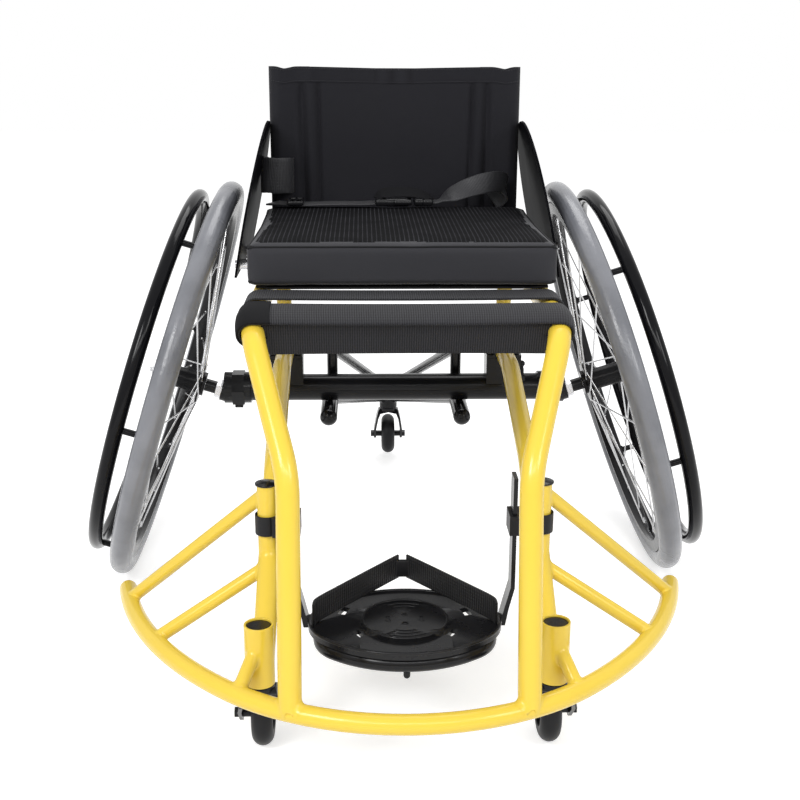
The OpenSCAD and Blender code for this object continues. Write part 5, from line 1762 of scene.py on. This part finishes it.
@dataclass
class Backrest:
    """The backrest cloth: sleeves round the posts and a sagging panel between them."""

    post_x: float = 164.5
    post_back: float = 32.0
    sleeve_r: float = 16.0
    pleats: tuple[float, ...] = (110.0, 132.0)
    seam_x: float = 121.9
    front: float = 20.6
    sag: float = 12.0
    low: float = 504.0
    high: float = 741.0

    def plan(self) -> list[tuple[float, float]]:
        """The cloth's path seen from above: x, and distance behind the axle."""
        half = [(self.seam_x, self.post_back - 4.0), (140.0, self.post_back + 4.0)]
        for k in range(13):
            a = math.radians(115 - 205 * k / 12)
            half.append((self.post_x + self.sleeve_r * math.cos(a),
                         self.post_back + self.sleeve_r * math.sin(a)))
        half.append((145.0, self.front - 0.6))
        for k in range(6):
            x = self.seam_x * (1 - k / 6)
            half.append((x, self.front + self.sag * (1 - (x / self.seam_x) ** 2)))
        return half + [(-x, y) for x, y in reversed(half)][0:]

    def path(self, count: int) -> list[Vector]:
        """Even points along the plan, in metres."""
        return smooth_path([Vector((x * MM, AXLE_Y + y * MM, 0)) for x, y in self.plan()], count)

    def crease(self, x: float, rise: float, inner: float) -> float:
        """How far the front of the cloth lies behind its even form.

        Args:
            x: Metres to the left.
            rise: 0 at the lower edge and 1 at the upper.
            inner: 1 in the panel's middle and 0 from the seams outwards.

        Returns:
            Metres backwards.
        """
        depth = 0.0
        for i, pleat in enumerate(self.pleats):
            wander = 0.0012 * math.sin(rise * 3.1 + i * 2 + (1.3 if x > 0 else 0.0))
            off = (abs(x) - pleat * MM + wander) / (0.0048 if i else 0.0032)
            depth += (0.0052 + 0.0014 * i) * math.exp(-off * off) * min(1.0, max(0.0, (0.93 - rise) / 0.08))
        fold = (abs(x) - 0.121) / 0.006
        depth -= 0.0016 * math.exp(-fold * fold)
        slant = (abs(x) - 0.150 + 0.012 * rise) / 0.008
        depth += 0.0012 * math.exp(-slant * slant)
        return depth + 0.0011 * inner * math.sin(rise * 7.0 + x * 14)

    def dip(self, x: float, rise: float) -> float:
        """How far the cloth sags under its even height, most of it at the upper edge.

        Args:
            x: Metres to the left.
            rise: 0 at the lower edge and 1 at the upper.

        Returns:
            Metres downwards.
        """
        inner = max(0.0, 1 - abs(x) / (self.seam_x * MM))
        slack = (abs(x) - 0.158) / 0.010
        return (0.004 * inner + 0.0034 * math.exp(-slack * slack)) * rise ** 6

    def panel(self) -> None:
        """Hangs the cloth."""
        count, rows = 260, 44
        path = self.path(count)
        mid = count // 2
        first = next(i for i in range(mid, 0, -1) if abs(path[i].x) > 0.158)
        front = range(first, count - first)
        length = path_length(path)
        height = (self.high - self.low) * MM
        bm = bmesh.new()
        uv = bm.loops.layers.uv.new("UVMap")
        bmesh.ops.create_grid(bm, x_segments=count - 1, y_segments=rows, size=0.5)
        for face in bm.faces:
            for loop in face.loops:
                loop[uv].uv = ((loop.vert.co.x + 0.5) * length, (loop.vert.co.y + 0.5) * height)
        for vert in bm.verts:
            column = round((vert.co.x + 0.5) * (count - 1))
            rise = vert.co.y + 0.5
            spot = path[column].copy()
            inner = max(0.0, 1 - abs(spot.x) / (self.seam_x * MM))
            if column in front:
                spot.y += self.crease(spot.x, rise, inner)
            spot.z = self.low * MM + rise * height - self.dip(spot.x, rise)
            vert.co = spot
        bmesh.ops.recalc_face_normals(bm, faces=bm.faces)
        bmesh.ops.solidify(bm, geom=bm.faces, thickness=0.0018)
        piece = placed("backrest_cloth", meshed("backrest_cloth", bm, 50), [BACK_CLOTH],
                       Body.FRAME.value, ["backrest_canvas"])

    def front_line(self, height: float, out: float, reach: float) -> list[Vector]:
        """A level line over the front of the panel.

        Args:
            height: Metres over the floor.
            out: Metres in front of the cloth.
            reach: How far it runs to each side, in metres.

        Returns:
            The line's points.
        """
        points = []
        path = self.path(260)
        rise = (height - self.low * MM) / ((self.high - self.low) * MM)
        for i, p in enumerate(path):
            if 30 < i < len(path) - 30 and abs(p.x) <= reach and p.y < AXLE_Y + self.post_back * MM:
                inner = max(0.0, 1 - abs(p.x) / (self.seam_x * MM))
                back = self.crease(p.x, rise, inner) if abs(p.x) < 0.158 else 0.0
                points.append(Vector((p.x, p.y - out + back, height - self.dip(p.x, rise))))
        return points

    def hems(self) -> None:
        """Adds the folded hems and their stitching."""
        meshes = []
        threads = []
        face = Vector((0, -1, 0))
        for z in (self.high * MM - 0.011, self.low * MM + 0.011):
            line = self.front_line(z, 0.0004, 0.177)
            meshes.append(ribbon("hem", line, [Vector((0, 0, 1))] * len(line), 0.022, 0.0012, 4))
            for offset in (-0.0085, 0.0085):
                row = [p + Vector((0, -0.0008, offset)) for p in line]
                threads.append(stitches(row, [face] * len(row)))
        placed("backrest_hems", joined("backrest_hems", meshes, 50), [BACK_CLOTH], Body.FRAME.value)
        placed("backrest_stitching", joined("backrest_stitching", threads), [THREAD], Body.FRAME.value)

    def build(self) -> None:
        """Makes the backrest's cloth."""
        self.panel()
        self.hems()


@dataclass
class SeatSling:
    """The cloth between the seat rails that carries the cushion."""

    reach: float = 175.0
    start: float = 10.0
    end: float = 342.0
    top: float = 496.0

    def build(self) -> None:
        """Stretches the cloth over the rails."""
        bm = bmesh.new()
        uv = bm.loops.layers.uv.new("UVMap")
        bmesh.ops.create_grid(bm, x_segments=40, y_segments=24, size=0.5)
        width, length = 2 * self.reach * MM, (self.end - self.start) * MM
        for face in bm.faces:
            for loop in face.loops:
                loop[uv].uv = ((loop.vert.co.x + 0.5) * width, (loop.vert.co.y + 0.5) * length)
        for vert in bm.verts:
            share = 2 * vert.co.x
            sag = 0.0 if abs(share) > 0.94 else 0.0012
            vert.co = at(share * self.reach, self.start + (0.5 - vert.co.y) * (self.end - self.start),
                         self.top - sag / MM)
        bmesh.ops.recalc_face_normals(bm, faces=bm.faces)
        bmesh.ops.solidify(bm, geom=bm.faces, thickness=0.0025)
        piece = placed("seat_sling_cloth", meshed("seat_sling_cloth", bm), [SLING_CLOTH],
                       Body.FRAME.value, ["seat_sling"])


@dataclass
class LapBelt:
    """The lap belt on the cushion, with its buckle and its adjuster."""

    thickness: float = 0.0026
    buckle_x: float = 11.0
    level: float = 556.0
    ahead: float = 44.0

    def strip(self, name: str, knots: Sequence[tuple[Vector, tuple[float, float, float]]],
              width: float) -> bpy.types.Mesh:
        """A length of belt along points, each with the way its width runs there.

        Args:
            name: The mesh's name.
            knots: Points down the belt's middle, and the direction across it at each.
            width: The belt's width.

        Returns:
            The mesh.
        """
        count = 72
        spine = smooth_path([point for point, _ in knots], count)
        sides = []
        for i in range(count):
            share = i / (count - 1) * (len(knots) - 1)
            k = min(int(share), len(knots) - 2)
            side = Vector(knots[k][1]).lerp(Vector(knots[k + 1][1]), share - k)
            run = (spine[min(i + 1, count - 1)] - spine[max(i - 1, 0)]).normalized()
            sides.append((side - run * side.dot(run)).normalized())
        return ribbon(name, spine, sides, width, self.thickness)

    def webbing(self) -> None:
        """Lays the belt's two halves, its doubled end and the end round the right post."""
        z, a = self.level, self.ahead
        flat = (0, 1, 0)
        left = [(at(-176, 24, z - 1), flat), (at(-140, a, z), flat), (at(-90, a, z + 1), flat),
                (at(-50, a, z + 1), flat), (at(-28, a, z + 2), flat)]
        right = [(at(45, a, z + 2), flat), (at(60, a, z + 4), flat), (at(76, 42, z + 11), (-0.2, 0.8, 0.6)),
                 (at(99, 38, z + 20), (-0.3, 0.6, 0.75)), (at(122, 32, z + 26), (-0.25, 0.4, 0.88)),
                 (at(143, 22, z + 28), (-0.15, 0.25, 0.95)), (at(157, 10, z + 25), (0, 0.15, 0.98)),
                 (at(161, 0, z + 15), (0.1, 0.1, 0.99)), (at(154, -8, z + 5), (0.1, 0, 1)),
                 (at(143, -12, z - 4), (0.1, 0, 1))]
        doubled = [(at(-27, 36, z + 6), (0, 0.9, 0.5)), (at(-18, 33, z + 13), (0, 0.8, 0.6)),
                   (at(8, 32, z + 15), (0, 0.8, 0.6)), (at(32, 33, z + 13), (0, 0.8, 0.5)),
                   (at(52, 38, z + 5), (0, 1, 0.2))]
        post = [(at(-184, -26, z + 33), (0, 0, 1)), (at(-190, -8, z + 35), (0, 0, 1)),
                (at(-190, 5, z + 35), (0, 0, 1)), (at(-182, 12, z + 36), (0.03, 0, 1)),
                (at(-170, 13, z + 35), (-0.04, 0, 1)), (at(-157, 9, z + 35), (0, 0, 1)),
                (at(-150, 0, z + 34), (0, 0, 1)), (at(-149, -17, z + 33), (0, 0, 1))]
        meshes = [self.strip("left", left, 0.034), self.strip("right", right, 0.029),
                  self.strip("post", post, 0.050)]
        placed("lap_belt_fold", self.strip("doubled", doubled, 0.020), [TAPE], Body.FRAME.value)
        placed("lap_belt_webbing", joined("lap_belt", meshes, 50), [BELT], Body.FRAME.value, ["lap_belt"])
        seam = [at(-169 + 1.2 * math.sin(k * 2.1), 14.9, z + 18 + 5 * k) for k in range(9)]
        placed("lap_belt_seam", stitches(seam, [Vector((0, -1, 0))] * 9, 0.0052, 0.0007), [THREAD],
               Body.FRAME.value)

    def build(self) -> None:
        """Lays the belt and closes its buckle."""
        self.webbing()
        z = self.level
        x, y, base = self.buckle_x * MM, AXLE_Y - self.ahead * MM, (z + 3) * MM
        blocks = [
            rounded_box(Vector((x - 0.010, y, base)), (0.034, 0.044, 0.011), 0.004),
            rounded_box(Vector((x + 0.021, y, base)), (0.014, 0.042, 0.010), 0.0035),
            rounded_box(Vector((x - 0.031, y + 0.0195, base)), (0.018, 0.006, 0.009), 0.0025),
            rounded_box(Vector((x - 0.031, y - 0.0195, base)), (0.018, 0.006, 0.009), 0.0025),
            rounded_box(Vector((x - 0.038, y, base)), (0.005, 0.040, 0.008), 0.002),
            rounded_box(Vector((x + 0.033, y + 0.0195, base)), (0.014, 0.006, 0.009), 0.0025),
            rounded_box(Vector((x + 0.033, y - 0.0195, base)), (0.014, 0.006, 0.009), 0.0025),
            rounded_box(Vector((x + 0.038, y, base)), (0.005, 0.040, 0.008), 0.002),
            rounded_box(Vector((x - 0.002, y + 0.0195, base + 0.0005)), (0.026, 0.010, 0.008), 0.003),
            rounded_box(Vector((x - 0.002, y - 0.0195, base + 0.0005)), (0.026, 0.010, 0.008), 0.003),
        ]
        placed("lap_belt_buckle", joined("lap_belt_buckle", blocks), [GLOSS_PLASTIC],
               Body.FRAME.value, ["belt_buckle"])
        bar_x = -141 * MM
        slide = [
            rounded_box(Vector((bar_x + 0.009 * k, y, (z + 2.5) * MM)), (0.004, 0.046, 0.006), 0.0015)
            for k in (-1, 0, 1)
        ] + [rounded_box(Vector((bar_x, y + s * 0.0215, (z + 2.5) * MM)), (0.022, 0.004, 0.006), 0.0015)
             for s in (-1, 1)]
        placed("lap_belt_adjuster", joined("lap_belt_adjuster", slide), [GLOSS_PLASTIC], Body.FRAME.value)


def main() -> None:
    """Builds the sub-assemblies in order and logs how many pieces each one adds."""
    logging.basicConfig(level=logging.INFO, format="%(message)s")
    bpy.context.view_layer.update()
    assemblies = [
        Studio(), Tubework(), RearWheel("left"), RearWheel("right"), Hardware(), Footplate(), Straps(),
        SeatSling(), Cushion(), Backrest(), LapBelt(),
    ]
    for assembly in assemblies:
        before = len(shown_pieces())
        assembly.build()
        LOG.info("%s: %d pieces shown, %d before", type(assembly).__name__, len(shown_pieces()), before)
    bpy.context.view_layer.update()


if __name__ == "__main__":
    main()
